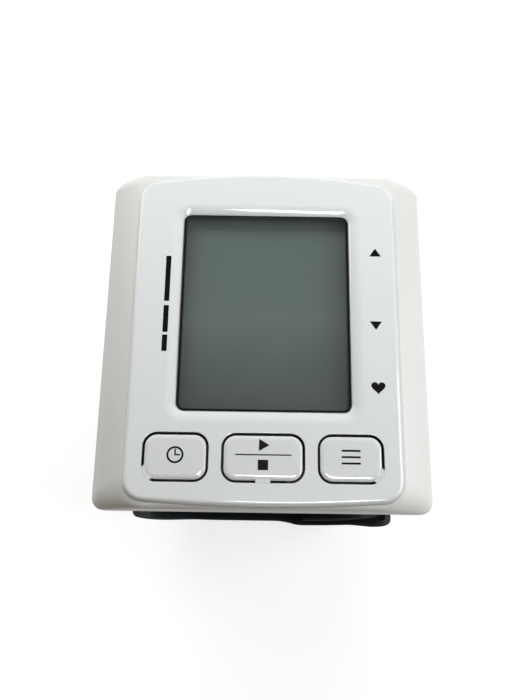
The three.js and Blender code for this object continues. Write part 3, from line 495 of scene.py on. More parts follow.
binding_tail.append(sweep(
    "binding_tail_tip", ring_x, tail_radius, tail_tip - 4, tip_section(2.4),
    [("bend", ring_x, tail_tip - 4, tail_tip)],
))
binding_wing = join(binding_wing)
lay_flat(binding_wing, wing_run)
fit(binding_wing, "unit", ribbed_tape, "cuff_binding_wing")
binding_bend = join(binding_bend)
lay_flat(binding_bend, wing_run)
flare(binding_bend)
fit(binding_bend, None, ribbed_tape)
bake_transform(binding_bend)
for place, piece in binding_strap.items():
    lay_flat(piece, strap_run)
    ease_forward(piece)
    fit(piece, "cuff_strap", ribbed_tape, f"cuff_binding_strap_{place}")
binding_tail = join(binding_tail)
lay_flat(binding_tail, strap_run)
ease_forward(binding_tail)
fit(binding_tail, None, ribbed_tape, "cuff_binding_tail")
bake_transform(binding_tail)

# Hook tape: a stiff strip of moulded hooks sewn inside the loose end, which grips the looped cover
# of the short wing when the cuff is closed.
hook_tape = cloth("hook_tape", (0.006, 0.006, 0.007), (0.018, 0.018, 0.02), 4200, 2.2, 0.0004, 0.6, 0.0)
hook_section = [(1.5, place) for place in edge_places] + [(2.35, place) for place in edge_places[::-1]]
hook_strip = sweep(
    "hook_strip", right_x, lower_radius, peel + 1, hook_section,
    [("bend", right_x, peel + 1, 0), ("bend", ring_x, 0, tail_tip - 4.5)],
)
lay_flat(hook_strip, strap_run)
ease_forward(hook_strip)
fit(hook_strip, "cuff_tail", hook_tape, "hook_patch")

# Air bladder: a flat bag of thin rubbery film, welded all round, that lies between the stiffener
# and the liner over the back of the wrist and swells inwards when the pump runs.

# Moulded plastic: fine spark grain and a slow drift of tint and polish
moulded, given, moulded_out = start_group("moulded", ("Grain", "Drift"), ("Height", "Tint"))
spot = add_node(moulded, "TexCoord").outputs["Object"]
grain = noise(moulded, spot, given["Grain"])
drift = noise(moulded, spot, given["Drift"], 3)
fine = reckon(moulded, "MULTIPLY", grain, 0.25)
slow = reckon(moulded, "MULTIPLY", drift, 0.75)
connect(moulded, moulded_out, {"Height": grain, "Tint": reckon(moulded, "ADD", fine, slow)})


def plastic(name, dark, light, grain, depth, rough, coat=0.0, drift=45, metallic=0.0):
    material, tree, shader = start_material(name)
    cast = add_node(tree, "Group", {"Grain": grain, "Drift": drift}, node_tree=moulded).outputs
    bump = add_node(tree, "Bump", {"Strength": 0.5, "Distance": depth, "Height": cast["Height"]})
    connect(tree, shader, {
        "Base Color": tones(tree, cast["Tint"], [(0.3, dark), (0.7, light)]),
        "Roughness": spread(tree, cast["Tint"], *rough, 0.3, 0.7),
        "Normal": bump.outputs[0],
        "Metallic": metallic,
        "Coat Weight": coat,
        "Coat Roughness": 0.06,
    })
    return material


film_height = [0.5, 0.5, 0.12, 0, 0, 0, 0, 0, 0.12, 0.5, 0.5]
bladder_places = [-32.4, -30.2, -29.2, -27.6, -14, 0, 14, 27.6, 29.2, 30.2, 32.4]
bladder_face = list(zip(film_height, bladder_places))
bladder_section = [(2.62 + depth, place) for depth, place in bladder_face]
bladder_section += [(3.78 - depth, place) for depth, place in bladder_face[::-1]]
bladder_film = plastic("bladder_film", (0.05, 0.055, 0.06), (0.075, 0.08, 0.085), 1500, 0.00006, (0.35, 0.5))
bladder_bag = sweep("bladder_bag", ring_x, cuff_radius, 155, bladder_section, [("bend", ring_x, 155, 25)])
lay_flat(bladder_bag, wing_run)
fit(bladder_bag, "unit", bladder_film, "air_bladder")

# Stiffener: a curved sheet of pale plastic between cover and bladder that keeps the cuff's round shape.
# It is cut from sheet and held by the stitching round it.


def dress(material, *names):
    # a moulded or pressed piece of the frame whose shape is right takes its finish
    for name in names:
        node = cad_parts[name]
        node.data.materials.clear()
        node.data.materials.append(material)


sheet_plastic = plastic("sheet_plastic", (0.60, 0.62, 0.61), (0.66, 0.68, 0.67), 1200, 0.00003, (0.35, 0.45))
dress(sheet_plastic, "cuff_stiffener")

# Rear case: the lower half of the unit, injection moulded in warm white plastic with a satin grain.
# Its hollow seat lies on the cuff, and a walled pocket behind the left side takes two cells.


def rounded(half, front, back, radius, back_radius=None, x=0, bow_front=0, bow_back=0, middle=1):
    # counter-clockwise rectangle with round corners; its two ends may bow outwards
    back_radius = radius if back_radius is None else back_radius
    points = []

    def corner(side, centre_y, round_by, start):
        for i in range(11):
            turn = math.radians(start + 9 * i)
            across = x + side * (half - round_by) + round_by * math.cos(turn)
            points.append((across, centre_y + round_by * math.sin(turn)))

    def end(first, sign, reach, bow, round_by):
        for i in range(1, middle):
            share = first * (1 - 2 * i / middle)
            points.append((x + (half - round_by) * share, sign * (reach - bow * share * share)))

    corner(1, radius + bow_front - front, radius, -90)
    corner(1, back - bow_back - back_radius, back_radius, 0)
    end(1, 1, back, bow_back, back_radius)
    corner(-1, back - bow_back - back_radius, back_radius, 90)
    corner(-1, radius + bow_front - front, radius, 180)
    end(-1, -1, front, bow_front, radius)
    return points


def stack(name, levels):
    # an outline drawn up through levels, each with its points and height
    outline, height = levels[0]
    piece = face_through(name, [(x * mm, y * mm, height * mm) for x, y in outline])
    order = list(piece.data.polygons[0].vertices)
    bpy.ops.object.mode_set(mode="EDIT")
    bpy.ops.mesh.select_all(action="SELECT")
    for outline, height in levels[1:]:
        bpy.ops.mesh.extrude_region_move()
        grid = bmesh.from_edit_mesh(piece.data)
        top = next(face for face in grid.faces if face.select)
        for corner, place in zip(top.verts, order):
            corner.co = (outline[place][0] * mm, outline[place][1] * mm, height * mm)
        bmesh.update_edit_mesh(piece.data)
    bpy.ops.mesh.select_all(action="SELECT")
    bpy.ops.mesh.normals_make_consistent(inside=False)
    bpy.ops.object.mode_set(mode="OBJECT")
    return piece


def bar(axis, radius, start, end, centre, sides=48):
    # round bar along one axis, in millimetres; centre is its place on the other two
    turn = {"x": (0, math.pi / 2, 0), "y": (math.pi / 2, 0, 0), "z": (0, 0, 0)}[axis]
    place = list(centre)
    place.insert("xyz".index(axis), (start + end) / 2)
    bpy.ops.object.select_all(action="DESELECT")
    bpy.ops.mesh.primitive_cylinder_add(
        vertices=sides, radius=radius * mm, depth=(end - start) * mm,
        location=[c * mm for c in place], rotation=turn,
    )
    bpy.ops.object.transform_apply(location=True, rotation=True, scale=True)
    return bpy.context.object


def slab(low, high):
    # box between two corners, in millimetres
    bpy.ops.object.select_all(action="DESELECT")
    bpy.ops.mesh.primitive_cube_add(size=1, location=[(a + b) / 2 * mm for a, b in zip(low, high)])
    piece = bpy.context.object
    piece.scale = [(b - a) * mm for a, b in zip(low, high)]
    bpy.ops.object.transform_apply(location=True, rotation=True, scale=True)
    return piece


def cut(piece, *cutters, operation="DIFFERENCE"):
    for cutter in cutters:
        step = piece.modifiers.new("cut", "BOOLEAN")
        step.operation = operation
        step.solver = "EXACT"
        step.object = cutter
        bpy.context.view_layer.objects.active = piece
        bpy.ops.object.modifier_apply(modifier=step.name)
        bpy.data.objects.remove(cutter)
    return piece


def soften(piece, width, segments=2):
    # worn edge of a moulding: a narrow round, with flat faces kept flat in the shading
    pick(piece)
    if width:
        edge = piece.modifiers.new("edge", "BEVEL")
        edge.limit_method = "ANGLE"
        edge.angle_limit = math.radians(35)
        edge.width = width * mm
        edge.segments = segments
        bpy.ops.object.modifier_apply(modifier=edge.name)
    bpy.ops.object.shade_smooth_by_angle(angle=math.radians(40))
    shading = piece.modifiers.new("shading", "WEIGHTED_NORMAL")
    shading.keep_sharp = True
    bpy.ops.object.modifier_apply(modifier=shading.name)
    return piece


case_plastic = plastic(
    "case_plastic", (0.775, 0.767, 0.735), (0.805, 0.80, 0.772), 2200, 0.00005, (0.42, 0.52), drift=30,
)

lip_z = 48.18
lip_round = 1.5
rear_top = 68.32
split_z = 68.47
lip_half = 34.9
side_draft = 1
end_draft = 1.4
body_end = 38
near_corner = 2.6
far_corner = 2.2
wall = 1.8
seam = 0.1
seat_radius = 33.8
floor_radius = 35.6


def rear_outline(inset, height):
    share = (height - lip_z) / (split_z - lip_z)
    half = lip_half + side_draft * share - inset
    end = body_end - seam - end_draft * (1 - share) - inset
    return rounded(half, end, end, max(near_corner - inset, 1), max(far_corner - inset, 1))


def rear_skin(name):
    levels = []
    for i in range(7):
        turn = math.radians(90 - 15 * i)
        inset = lip_round * (1 - math.cos(turn))
        levels.append((rear_outline(inset, lip_z), lip_z + lip_round * (1 - math.sin(turn))))
    levels.append((rear_outline(0, rear_top), rear_top))
    return stack(name, levels)


def rear_hollow():
    floor_z = lip_z + wall
    return stack("hollow", [(rear_outline(wall, floor_z), floor_z), (rear_outline(wall, 70), 70)])


def over_cuff(radius):
    return bar("y", radius, -60, 60, (-1.35, 24), 192)


screw_places = {
    "left_front": (-29.7, -31.7), "right_front": (29.7, -31.7),
    "left_back": (-29.7, 31.7), "right_back": (29.7, 31.7),
}
boss_radius = 3
hole_radius = 1.4
corners = list(screw_places.values())
cell_box = ((-40, -25.9, 40), (-10.97, 25.9, 68.37))
cell_room = ((-33.1, -24.7, 50.18), (-12.17, 24.7, 67.17))
doorway = ((-60, -23.9, 51.18), (-32.2, 23.9, 65.47))
rear_shell = rear_skin("rear_shell")
hollow = cut(rear_hollow(), over_cuff(floor_radius), slab(*cell_box))
cut(hollow, *[bar("z", boss_radius, 40, 80, place) for place in corners])
cut(rear_shell, over_cuff(seat_radius), hollow)
for room in (cell_room, doorway):
    cut(rear_shell, cut(slab(*room), over_cuff(floor_radius)))
cut(rear_shell, *[bar("z", 2.4, 40, 52.18, place) for place in corners])  # sunk for the screw heads
cut(rear_shell, *[bar("z", hole_radius, 40, 80, place, 24) for place in corners])
cut(rear_shell, bar("z", 2.5, 30, 80, (-1.35, 20), 32))  # for the air port
soften(rear_shell, 0.2)

# its ribs: two cradles under the pump, one under the valve, and two posts under the board
pump_axis = (26.6, 55.88)
valve_axis = (-1.35, 63.9)
ribs = []
for low, high, axis, bore in (
    ((19.5, -17, 49), (33.7, -15, 55.88), pump_axis, 6.5),
    ((19.5, 13.3, 49), (33.7, 15.3, 55.88), pump_axis, 6.5),
    ((-5.35, 1.75, 55), (2.65, 3.75, 63.9), valve_axis, 4.3),
):
    ribs.append(soften(cut(slab(low, high), over_cuff(34.7), bar("y", bore, -60, 60, axis, 64)), 0))
for post_y in (-31, 8):
    ribs.append(soften(bar("z", 1.5, 54.2, 68.57, (16, post_y), 24), 0.1))
rear_shell = join([rear_shell] + ribs)
fit(rear_shell, "unit", case_plastic, "rear_case")

# Battery door: the part of the left wall over the cells, pulled straight out by a round finger grip
# with three raised ribs. Moulded from the same plastic as the case.
door_leaf = rear_skin("door_leaf")
cut(door_leaf, slab((-60, -23.6, 51.48), (-32.2, 23.6, 65.17)), operation="INTERSECT")
cut(door_leaf, rear_hollow(), bar("x", 5, -60, -34.4, (0, 58.325), 64))
soften(door_leaf, 0.2)
grip_ribs = []
for rib_z in (56.5, 58.3, 60.1):
    grip_ribs.append(soften(slab((-34.9, -2.6, rib_z - 0.3), (-34.3, 2.6, rib_z + 0.3)), 0.12))
door_leaf = join([door_leaf] + grip_ribs)
fit(door_leaf, "battery_door", case_plastic, "battery_door")

# Case screws: four self-tapping pan heads of zinc plated steel with a cross recess,
# driven up through the lips of the rear case into the bosses of the front case.
zinc_steel = plastic(
    "zinc_steel", (0.50, 0.50, 0.49), (0.62, 0.62, 0.60), 1800, 0.00002, (0.25, 0.4), drift=300, metallic=1.0,
)


def ring(radius, count):
    turns = [2 * math.pi * i / count for i in range(count)]
    return [(radius * math.cos(turn), radius * math.sin(turn)) for turn in turns]


def turned(name, profile, count):
    # a turned piece, round at every height
    return stack(name, [(ring(radius, count), height) for radius, height in profile])


def settle(piece, shift, turn=(0, 0, 0)):
    # turned in degrees and moved in millimetres, with its place kept in its mesh
    pick(piece)
    piece.rotation_euler = [math.radians(angle) for angle in turn]
    piece.location = [step * mm for step in shift]
    bpy.ops.object.transform_apply(location=True, rotation=True, scale=True)
    return piece


def copy_of(piece, name, shift, turn=(0, 0, 0)):
    pick(piece)
    bpy.ops.object.duplicate()
    copy = bpy.context.object
    copy.name = name
    return settle(copy, shift, turn)


head_profile = [(1.1, 50.38), (1.65, 50.45), (1.98, 50.75), (2.1, 51.2), (2.1, 51.88)]
head = turned("screw_left_front", head_profile, 32)
cut(head, slab((-1.4, -0.28, 40), (1.4, 0.28, 51.05)), slab((-0.28, -1.4, 40), (0.28, 1.4, 51.05)))
soften(head, 0.05)
shank_profile = [(1.05, 51.7)]
for i in range(28):
    height = 51.8 + 0.8 * i
    shank_profile += [(0.85, height), (1.1, height + 0.3), (1.1, height + 0.4), (0.85, height + 0.7)]
shank_profile.append((0.3, 74.4))
first_screw = join([head, soften(turned("shank", shank_profile, 16), 0)])
first_x, first_y = screw_places["left_front"]
settle(first_screw, (first_x, first_y, 0))
screws = {"left_front": first_screw}
for corner in ("right_front", "left_back", "right_back"):
    x, y = screw_places[corner]
    screws[corner] = copy_of(first_screw, f"screw_{corner}", (x - first_x, y - first_y, 0))
for corner, screw in screws.items():
    fit(screw, "unit", zinc_steel, f"case_screw_{corner}")

# Cells: two size AAA cells laid head to tail, each a steel can in a printed sleeve, plain blue with
# a copper band at its positive end. The sleeve is folded in over both shoulders.
outer_cell = (-27.55, 55.73)
inner_cell = (-18.02, 61.62)
to_inner = (outer_cell[0] + inner_cell[0], 0, inner_cell[1] - outer_cell[1])
end_for_end = (0, 0, 180)
sleeve, tree, shader = start_material("cell_sleeve")
along = add_node(tree, "Attribute", attribute_name="length").outputs["Fac"]
scuff = add_node(tree, "Group", {"Grain": 1400, "Drift": 220}, node_tree=moulded).outputs["Tint"]
bare_steel = (0.55, 0.55, 0.53)
sleeve_print = [(0, bare_steel), (0.012, (0.03, 0.08, 0.20)), (0.72, (0.50, 0.22, 0.07)), (0.955, bare_steel)]
connect(tree, shader, {
    "Base Color": tones(tree, along, sleeve_print, "CONSTANT"),
    "Roughness": spread(tree, scuff, 0.2, 0.45),
    "Metallic": 0.6,
})

# profile from the flat negative end, over the folded sleeve, to the positive nub
cell_profile = [
    (3.9, -20.7), (4.4, -20.75), (4.9, -20.6), (5.2, -20.2), (5.25, -19.6), (5.25, 21.4),
    (5.2, 22.0), (4.9, 22.3), (4.2, 22.3), (4.0, 22.15),
    (1.9, 22.2), (1.9, 23.2), (1.7, 23.45), (0.4, 23.5),
]
cell = turned("cell_outer", cell_profile, 36)
length = cell.data.attributes.new("length", "FLOAT", "POINT")
for corner in cell.data.vertices:
    length.data[corner.index].value = (corner.co.z / mm + 21) / 44.5
settle(cell, (outer_cell[0], 0, outer_cell[1]), (-90, 0, 0))
soften(cell, 0)
cells = {"outer": cell, "inner": copy_of(cell, "cell_inner", to_inner, end_for_end)}
for place, can in cells.items():
    fit(can, "unit", sleeve, f"battery_{place}")

# Battery contacts: coil springs wound from plated wire at the negative ends, round plates behind them,
# and one long plate across the back that joins the two cells.
plated_wire = plastic(
    "plated_wire", (0.55, 0.55, 0.53), (0.68, 0.68, 0.66), 1600, 0.00001, (0.18, 0.3),
    drift=400, metallic=1.0,
)


def run_wire(name, points, radius, sides):
    # round wire or tube along a line of points, in millimetres
    bpy.ops.object.select_all(action="DESELECT")
    bpy.ops.curve.primitive_nurbs_path_add(location=(0, 0, 0))
    piece = bpy.context.object
    piece.name = name
    piece.data.splines.clear()
    spline = piece.data.splines.new("POLY")
    spline.points.add(len(points) - 1)
    for knot, place in zip(spline.points, points):
        knot.co = (*[c * mm for c in place], 1)
    piece.data.bevel_depth = radius * mm
    piece.data.bevel_resolution = sides
    piece.data.use_fill_caps = True
    bpy.ops.object.convert(target="MESH")
    piece = bpy.context.object
    bpy.ops.object.mode_set(mode="EDIT")
    bpy.ops.mesh.select_all(action="SELECT")
    bpy.ops.mesh.remove_doubles(threshold=1e-6)
    bpy.ops.mesh.normals_make_consistent(inside=False)
    bpy.ops.object.mode_set(mode="OBJECT")
    bpy.ops.object.shade_smooth_by_angle(angle=math.radians(50))
    return piece


# two and a half turns that narrow from the plate to the cell
coil_points = []
for i in range(121):
    share = i / 120
    turn = share * 5 * math.pi
    radius = 3.3 - 1.3 * share
    across = outer_cell[0] + radius * math.cos(turn)
    coil_points.append((across, 2.1 * share - 23.45, outer_cell[1] + radius * math.sin(turn)))
coil = run_wire("coil_front", coil_points, 0.25, 3)
coils = {"front": coil, "back": copy_of(coil, "coil_back", to_inner, end_for_end)}
for place, coil in coils.items():
    fit(coil, "unit", plated_wire, f"contact_spring_{place}")
dress(plated_wire, "contact_link", "contact_negative", "contact_positive")

# Air pump: a small motor in a drawn steel can, its shaft with the eccentric that works the diaphragms,
# and the moulded pump head with one outlet.
can_steel = plastic(
    "can_steel", (0.48, 0.49, 0.50), (0.60, 0.61, 0.62), 900, 0.00002, (0.22, 0.38), drift=180, metallic=1.0,
)
black_plastic = plastic(
    "black_plastic", (0.012, 0.012, 0.013), (0.022, 0.022, 0.023), 1600, 0.00004, (0.4, 0.55),
)
dress(can_steel, "pump_motor", "pump_shaft")
dress(black_plastic, "pump_head")

# Air way: a moulded port through the cuff, the manifold on it, and the bleed valve,
# a small solenoid whose plunger lets the cuff down.
pale_plastic = plastic("pale_plastic", (0.60, 0.59, 0.56), (0.68, 0.67, 0.64), 1500, 0.00003, (0.35, 0.45))
valve_black = plastic(
    "valve_black", (0.035, 0.035, 0.04), (0.06, 0.06, 0.065), 1200, 0.00003, (0.3, 0.45), metallic=0.4,
)
dress(pale_plastic, "air_port", "air_manifold", "pressure_sensor")
dress(valve_black, "bleed_valve")
dress(can_steel, "valve_plunger")

# Air tubes: soft silicone rubber, drawn as hose and cut to length. Each is pushed over the nozzles at its
# ends: from the pump, the valve and the sensor to the manifold.
silicone = plastic("silicone", (0.62, 0.59, 0.51), (0.70, 0.67, 0.59), 700, 0.00003, (0.45, 0.6))


def smooth_run(knots, steps=8):
    # points on one smooth curve through the knots
    held = [knots[0]] + knots + [knots[-1]]
    points = []
    for four in zip(held, held[1:], held[2:], held[3:]):
        for i in range(steps):
            s = i / steps
            place = []
            for p, q, r, u in zip(*four):
                square = 2 * p - 5 * q + 4 * r - u
                cube = 3 * q - p - 3 * r + u
                place.append(0.5 * (2 * q + (r - p) * s + square * s * s + cube * s ** 3))
            points.append(tuple(place))
    return points + [knots[-1]]


tube_runs = {
    "pump_hose": ("pump_tube", [
        (26.6, 21.1, 55.88), (26.6, 24.75, 55.88), (24.28, 27.5, 56.88), (18.88, 29.7, 59.89),
        (11.17, 29.7, 63.1), (5.45, 29.7, 63.9), (3.45, 29.7, 63.9),
    ]),
    "valve_hose": ("valve_tube", [(-1.35, 8.3, 63.9), (-1.35, 11, 63.9), (-1.35, 14, 63.9)]),
    "sensor_hose": ("sensor_tube", [(3.45, 20, 63.9), (6, 20, 63.9), (9.2, 20, 63.9)]),
}
for name, (node, knots) in tube_runs.items():
    fit(run_wire(name, smooth_run(knots), 2, 6), "unit", silicone, node)

# Main board: brown phenolic laminate with printed tracks and random black patches, which stand for carbon ink
# and for painted shade down the key slots. It carries three key switches on top, and the controller, sounder
# and pressure sensor below, between the posts of the case.
laminate, tree, shader = start_material("laminate")
spot = add_node(tree, "TexCoord").outputs["Object"]
tracks = add_node(tree, "TexBrick", {
    "Scale": 240, "Mortar Size": 0.05, "Vector": spot, "Mortar": (0.24, 0.14, 0.05, 1),
    "Color1": (0.14, 0.075, 0.03, 1), "Color2": (0.17, 0.09, 0.035, 1),
}).outputs
# painted shade: random black patches darken the board where it shows down the key slots, and stand also for
# carbon ink
carbon_ink_and_shade = noise(tree, spot, 140)
ink_and_shade_patch = tones(tree, carbon_ink_and_shade, [(0.46, (0.05, 0.05, 0.06)), (0.56, (1, 1, 1))])
inked = add_node(
    tree, "Mix", {0: 1, 6: tracks["Color"], 7: ink_and_shade_patch}, data_type="RGBA", blend_type="MULTIPLY",
)
raised = add_node(tree, "Bump", {"Distance": 0.00004, "Height": tracks["Fac"]})
connect(tree, shader, {
    "Base Color": inked.outputs[2],
    "Roughness": spread(tree, tracks["Fac"], 0.35, 0.55),
    "Normal": raised.outputs[0],
})
dress(laminate, "main_board")
dress(black_plastic, "set_switch", "start_switch", "memory_switch", "controller_chip", "sounder")
plunger_grey = plastic("plunger_grey", (0.22, 0.22, 0.22), (0.28, 0.28, 0.28), 1500, 0.00003, (0.4, 0.5))
dress(plunger_grey, "set_plunger", "start_plunger", "memory_plunger")

# Front case: the upper half of the unit in the same warm plastic, with a flat sloped band down each side
# and round shoulders. Its top is recessed for the panel and pierced for the display and the keys.
case_top = 77.57
panel_top = 78.47
panel_under = 76.57
shoulder_z = 71.87
shoulder_half = 35.6
shoulder_bulge = 1.1
top_half = 29.28
top_round = 1
near_top_corner = 6
far_top_corner = far_corner + 1.3


def shoulder(height):
    share = (height - shoulder_z) / (case_top - shoulder_z)
    straight = shoulder_half - share * (shoulder_half - top_half)
    return straight + shoulder_bulge * 4 * share * (1 - share)


def panel_outline(inset):
    return rounded(
        28.78 - inset, 37.45 - inset, 37.6 - inset, 4.6 - inset, bow_front=0.9, bow_back=1.9, middle=24,
    )


def window_outline(grow):
    return rounded(18.475 + grow, 17.77 + grow, 27.23 + grow, 1.7 + max(grow, 0))


key_sizes = {"set": (-18.05, 13.66), "start": (0, 17.2), "memory": (18.05, 13.66)}


def key_outline(key, grow):
    place, width = key_sizes[key]
    return rounded(width / 2 + grow, 32.69 + grow, -22.51 + grow, 3 + grow, x=place)


front_levels = [
    (rounded(35.9, body_end - seam, body_end - seam, near_corner, far_corner), 68.62),
    (rounded(36, body_end, body_end, near_corner, far_corner), 71.0),
    (rounded(35.93, body_end, body_end, near_corner, far_corner), 71.4),
]
for i in range(12):
    share = i / 12
    height = shoulder_z + share * (case_top - top_round - shoulder_z)
    near = near_corner + share * (near_top_corner - near_corner)
    far = far_corner + share * (far_top_corner - far_corner)
    front_levels.append((rounded(shoulder(height), body_end, body_end, near, far), height))
for i in range(7):
    turn = math.radians(15 * i)
    height = case_top - top_round * (1 - math.sin(turn))
    end = body_end - top_round * (1 - math.cos(turn))
    front_levels.append((rounded(shoulder(height), end, end, near_top_corner, far_top_corner), height))
front_shell = stack("front_shell", front_levels)
cut(front_shell, stack("hollow", [
    (rounded(34.1, 36.2, 36.2, 1), 60),
    (rounded(34.2, 36.2, 36.2, 1), 70.57),
    (rounded(31.16, 36.2, 36.2, 1), 74.57),
]))
cut(front_shell, stack("recess", [(panel_outline(-0.06), 76.5), (panel_outline(-0.06), 90)]))
cut(front_shell, stack("opening", [(window_outline(3.8), 60), (window_outline(3.8), 90)]))
for key in key_sizes:
    cut(front_shell, stack("opening", [(key_outline(key, 0.9), 60), (key_outline(key, 0.9), 90)]))
soften(front_shell, 0.25, 3)

# inside it, four bosses for the screws and four posts that hold the board down
posts = []
for place in corners:
    boss = cut(bar("z", boss_radius, 68.62, 74.9, place), bar("z", hole_radius, 60, 74.77, place, 24))
    posts.append(soften(boss, 0))
for post_x in (-24.08, 24.08):
    for post_y in (-19.81, 31.8):
        posts.append(soften(bar("z", 1.5, 70.37, 75.4, (post_x, post_y), 24), 0.1))
front_shell = join([front_shell] + posts)
fit(front_shell, "unit", case_plastic, "front_case")

# Front panel: a glossy cool white plate let into the case, its outer edge and the lip round the display
# rolled over. Each key stands in its own slot.
panel_gloss = plastic(
    "panel_gloss", (0.80, 0.83, 0.825), (0.825, 0.85, 0.845), 900, 0.000004, (0.05, 0.09), coat=0.4, drift=20,
)
edge_width = 1.0
edge_drop = 0.75
lip_width = 2.8
lip_drop = 0.8
panel_levels = [(panel_outline(0), panel_under)]
lip_levels = [(window_outline(0), 60)]
for i in range(11):
    turn = math.radians(9 * i)
    inset = edge_width * (1 - math.cos(turn))
    panel_levels.append((panel_outline(inset), panel_top - edge_drop * (1 - math.sin(turn))))
    share = 1 - i / 10
    lip_levels.append((window_outline(lip_width * (1 - share)), panel_top - lip_drop * share ** 2))
lip_levels.append((window_outline(lip_width), 90))
panel_plate = cut(stack("panel_plate", panel_levels), stack("lip", lip_levels))
for key in key_sizes:
    cut(panel_plate, stack("slot", [
        (key_outline(key, 0.9), 60), (key_outline(key, 0.9), panel_under),
        (key_outline(key, 0.02), panel_top - 0.5), (key_outline(key, 0.02), 90),
    ]))
soften(panel_plate, 0.12)
fit(panel_plate, "unit", panel_gloss, "front_panel")

# Keys: three caps of the same glossy plastic, each cut free but for a thin web at its near edge
# on which it bends. A post under each cap reaches down to its switch.
key_gloss = plastic(
    "key_gloss", (0.765, 0.79, 0.78), (0.79, 0.81, 0.805), 900, 0.000004, (0.06, 0.10), coat=0.4, drift=20,
)
web_ends = {"set": (-24.1, -31.2, 45), "start": (0, -32.3, 0), "memory": (24.1, -31.2, -45)}
cap_gap = 0.52
cap_round = 1.1
cap_drop = 0.4
web_low = 76.87
post_y = -27.6
for key, (place, _) in key_sizes.items():
    levels = [(key_outline(key, -1.4), panel_under)]
    for i in range(9):
        turn = math.radians(11.25 * i)
        inset = cap_gap + cap_round * (1 - math.cos(turn))
        levels.append((key_outline(key, -inset), panel_top - cap_drop * (1 - math.sin(turn))))
    cap = soften(stack(f"{key}_cap", levels), 0)
    web_x, web_y, turn = web_ends[key]
    reach = settle(slab((-1.5, -2.5, 60), (1.5, 2.5, 90)), (web_x, web_y, 0), (0, 0, -turn))
    web = stack("web", [(key_outline(key, 0), web_low), (key_outline(key, 0), panel_top - 0.06)])
    cut(web, stack("inside", [(key_outline(key, -0.75), 60), (key_outline(key, -0.75), 90)]))
    cut(web, reach, operation="INTERSECT")
    post = bar("z", 1.3, 73.62, 77, (place, post_y), 24)
    cap = join([cap, soften(web, 0), soften(post, 0.1)])
    fit(cap, f"{key}_key", key_gloss, f"{key}_key")

# Display: a liquid crystal glass, switched off, grey green, set in a black moulded holder. Its colour carries
# painted shade, darker towards its near edge and a little at its far edge. Striped rubber strips carry its
# contacts down to the board.
glass_off, tree, shader = start_material("glass_off")
spot = add_node(tree, "TexCoord").outputs["Object"]
split = add_node(tree, "SeparateXYZ", {0: spot}).outputs
# painted shade: the glass is coloured darker towards its near edge, and a little darker at its far edge
painted_shade_fade = spread(tree, split["Y"], 0, 1, -0.0178, 0.0272)
cloud = noise(tree, spot, 60)
mixed = reckon(tree, "ADD", painted_shade_fade, reckon(tree, "MULTIPLY", cloud, 0.08))
grey_green_and_painted_shade = [(0, (0.018, 0.027, 0.025)), (1, (0.09, 0.13, 0.121)), (0.5, (0.112, 0.154, 0.146))]
connect(tree, shader, {
    "Base Color": tones(tree, mixed, grey_green_and_painted_shade),
    "Roughness": spread(tree, cloud, 0.3, 0.4),
})
dress(glass_off, "lcd_glass")
dress(black_plastic, "lcd_holder")

zebra_rubber, tree, shader = start_material("zebra_rubber")
spot = add_node(tree, "TexCoord").outputs["Object"]
stripes = add_node(tree, "TexWave", {"Scale": 900, "Vector": spot}).outputs["Color"]
connect(tree, shader, {
    "Base Color": tones(tree, stripes, [(0, (0.02, 0.02, 0.02)), (1, (0.62, 0.36, 0.32))]),
    "Roughness": 0.7,
})
dress(zebra_rubber, "lcd_connector_front", "lcd_connector_back")

# Display window: a clear moulded acrylic plate that lies in the panel's opening, a little under its face.
# It is bonded into a black frame, and both are glued in from below.
clear_acrylic, tree, shader = start_material("clear_acrylic")
spot = add_node(tree, "TexCoord").outputs["Object"]
smear = noise(tree, spot, 90, 5)
connect(tree, shader, {
    "Base Color": (0.28, 0.31, 0.305, 1),
    "Alpha": spread(tree, smear, 0.05, 0.09),
    "Roughness": spread(tree, smear, 0.03, 0.08),
})
window_top = 78.06


def clear_field(grow):
    return rounded(17.95 + grow, 17.45 + grow, 27 + grow, 1.3 + grow)


window_plate = stack("window_plate", [(clear_field(-0.02), panel_under), (clear_field(-0.02), window_top)])
soften(window_plate, 0.05)
fit(window_plate, "unit", clear_acrylic, "display_window")

# Window border: a black frame moulded round the clear plate. It fills the panel's opening up to the lip
# and hides the edge of the display's holder.
ink = plastic("ink", (0.003, 0.003, 0.0035), (0.007, 0.007, 0.0075), 3000, 0.00001, (0.35, 0.5))
ink.node_tree.nodes["Principled BSDF"].inputs["Specular IOR Level"].default_value = 0.08
border_outline = rounded(18.25, 17.67, 27.2, 1.5)
window_border = stack("window_border", [(border_outline, 76.5), (border_outline, window_top - 0.02)])
cut(window_border, stack("clear_field", [(clear_field(0), 60), (clear_field(0), 90)]))
fit(window_border, "unit", ink)

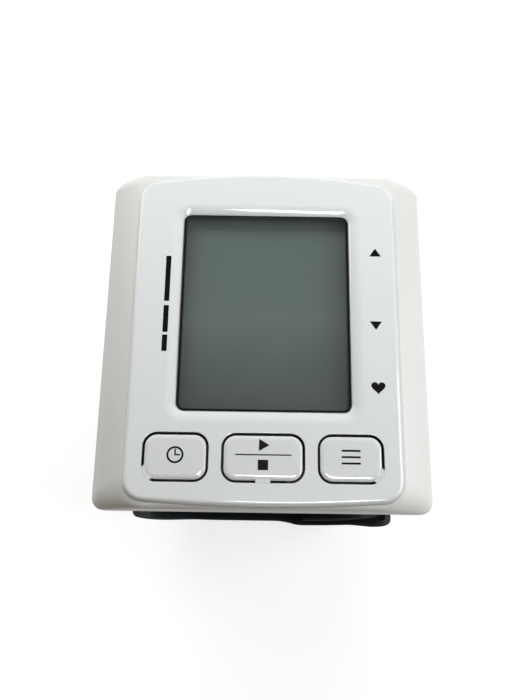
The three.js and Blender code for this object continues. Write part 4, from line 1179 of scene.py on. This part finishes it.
# Printed marks: screen printed black ink on the panel and the keys, plain signs in place of words.
# Three bars stand beside the display for the level scale, three small signs for its three readings.
ink_low = panel_top - 0.03
ink_high = panel_top + 0.02


def ink_shape(name, points):
    return stack(name, [(points, ink_low), (points, ink_high)])


def ink_bar(low, high):
    return ink_shape("ink_bar", [(low[0], low[1]), (high[0], low[1]), (high[0], high[1]), (low[0], high[1])])


def ink_ring(centre, radius, width):
    disc = [(centre[0] + x, centre[1] + y) for x, y in ring(radius, 40)]
    return cut(ink_shape("ink_ring", disc), bar("z", radius - width, 60, 90, centre, 40))


def heart(centre, size):
    points = []
    for i in range(40):
        turn = math.radians(9 * i)
        up = 13 * math.cos(turn) - 5 * math.cos(2 * turn) - 2 * math.cos(3 * turn) - math.cos(4 * turn)
        points.append((centre[0] + size * math.sin(turn) ** 3, centre[1] + size * up / 16))
    return ink_shape("heart", points[::-1])


def print_on(name, body, pieces):
    mark = join(pieces)
    mark.name = name
    fit(mark, body, ink)


print_on("panel_print", "unit", [
    ink_bar((-22.03, 6.29), (-20.92, 16.91)),
    ink_bar((-22.03, -0.83), (-20.92, 5.29)),
    ink_bar((-22.03, -5.10), (-20.92, -1.44)),
    ink_shape("up_sign", [(23.0, 17.5), (25.6, 17.5), (24.3, 19.4)]),
    ink_shape("down_sign", [(24.0, 0.35), (25.3, 2.25), (22.7, 2.25)]),
    heart((24.1, -12.4), 1.5),
])
print_on("set_print", "set_key", [
    ink_ring((-18.05, -27.2), 1.75, 0.4),
    ink_bar((-18.2, -27.35), (-17.9, -25.95)),
    ink_bar((-18.2, -27.35), (-17.0, -27.05)),
])
print_on("start_print", "start_key", [
    ink_shape("start_sign", [(-0.85, -26.2), (-0.85, -23.7), (1.3, -24.95)]),
    ink_bar((-5.76, -27.1), (5.82, -26.85)),
    ink_bar((-1.05, -30.1), (1.05, -28.0)),
])
print_on("memory_print", "memory_key", [
    ink_bar((16.1, -26.1), (20.0, -25.7)),
    ink_bar((16.1, -27.4), (20.0, -27.0)),
    ink_bar((16.1, -28.7), (20.0, -28.3)),
])
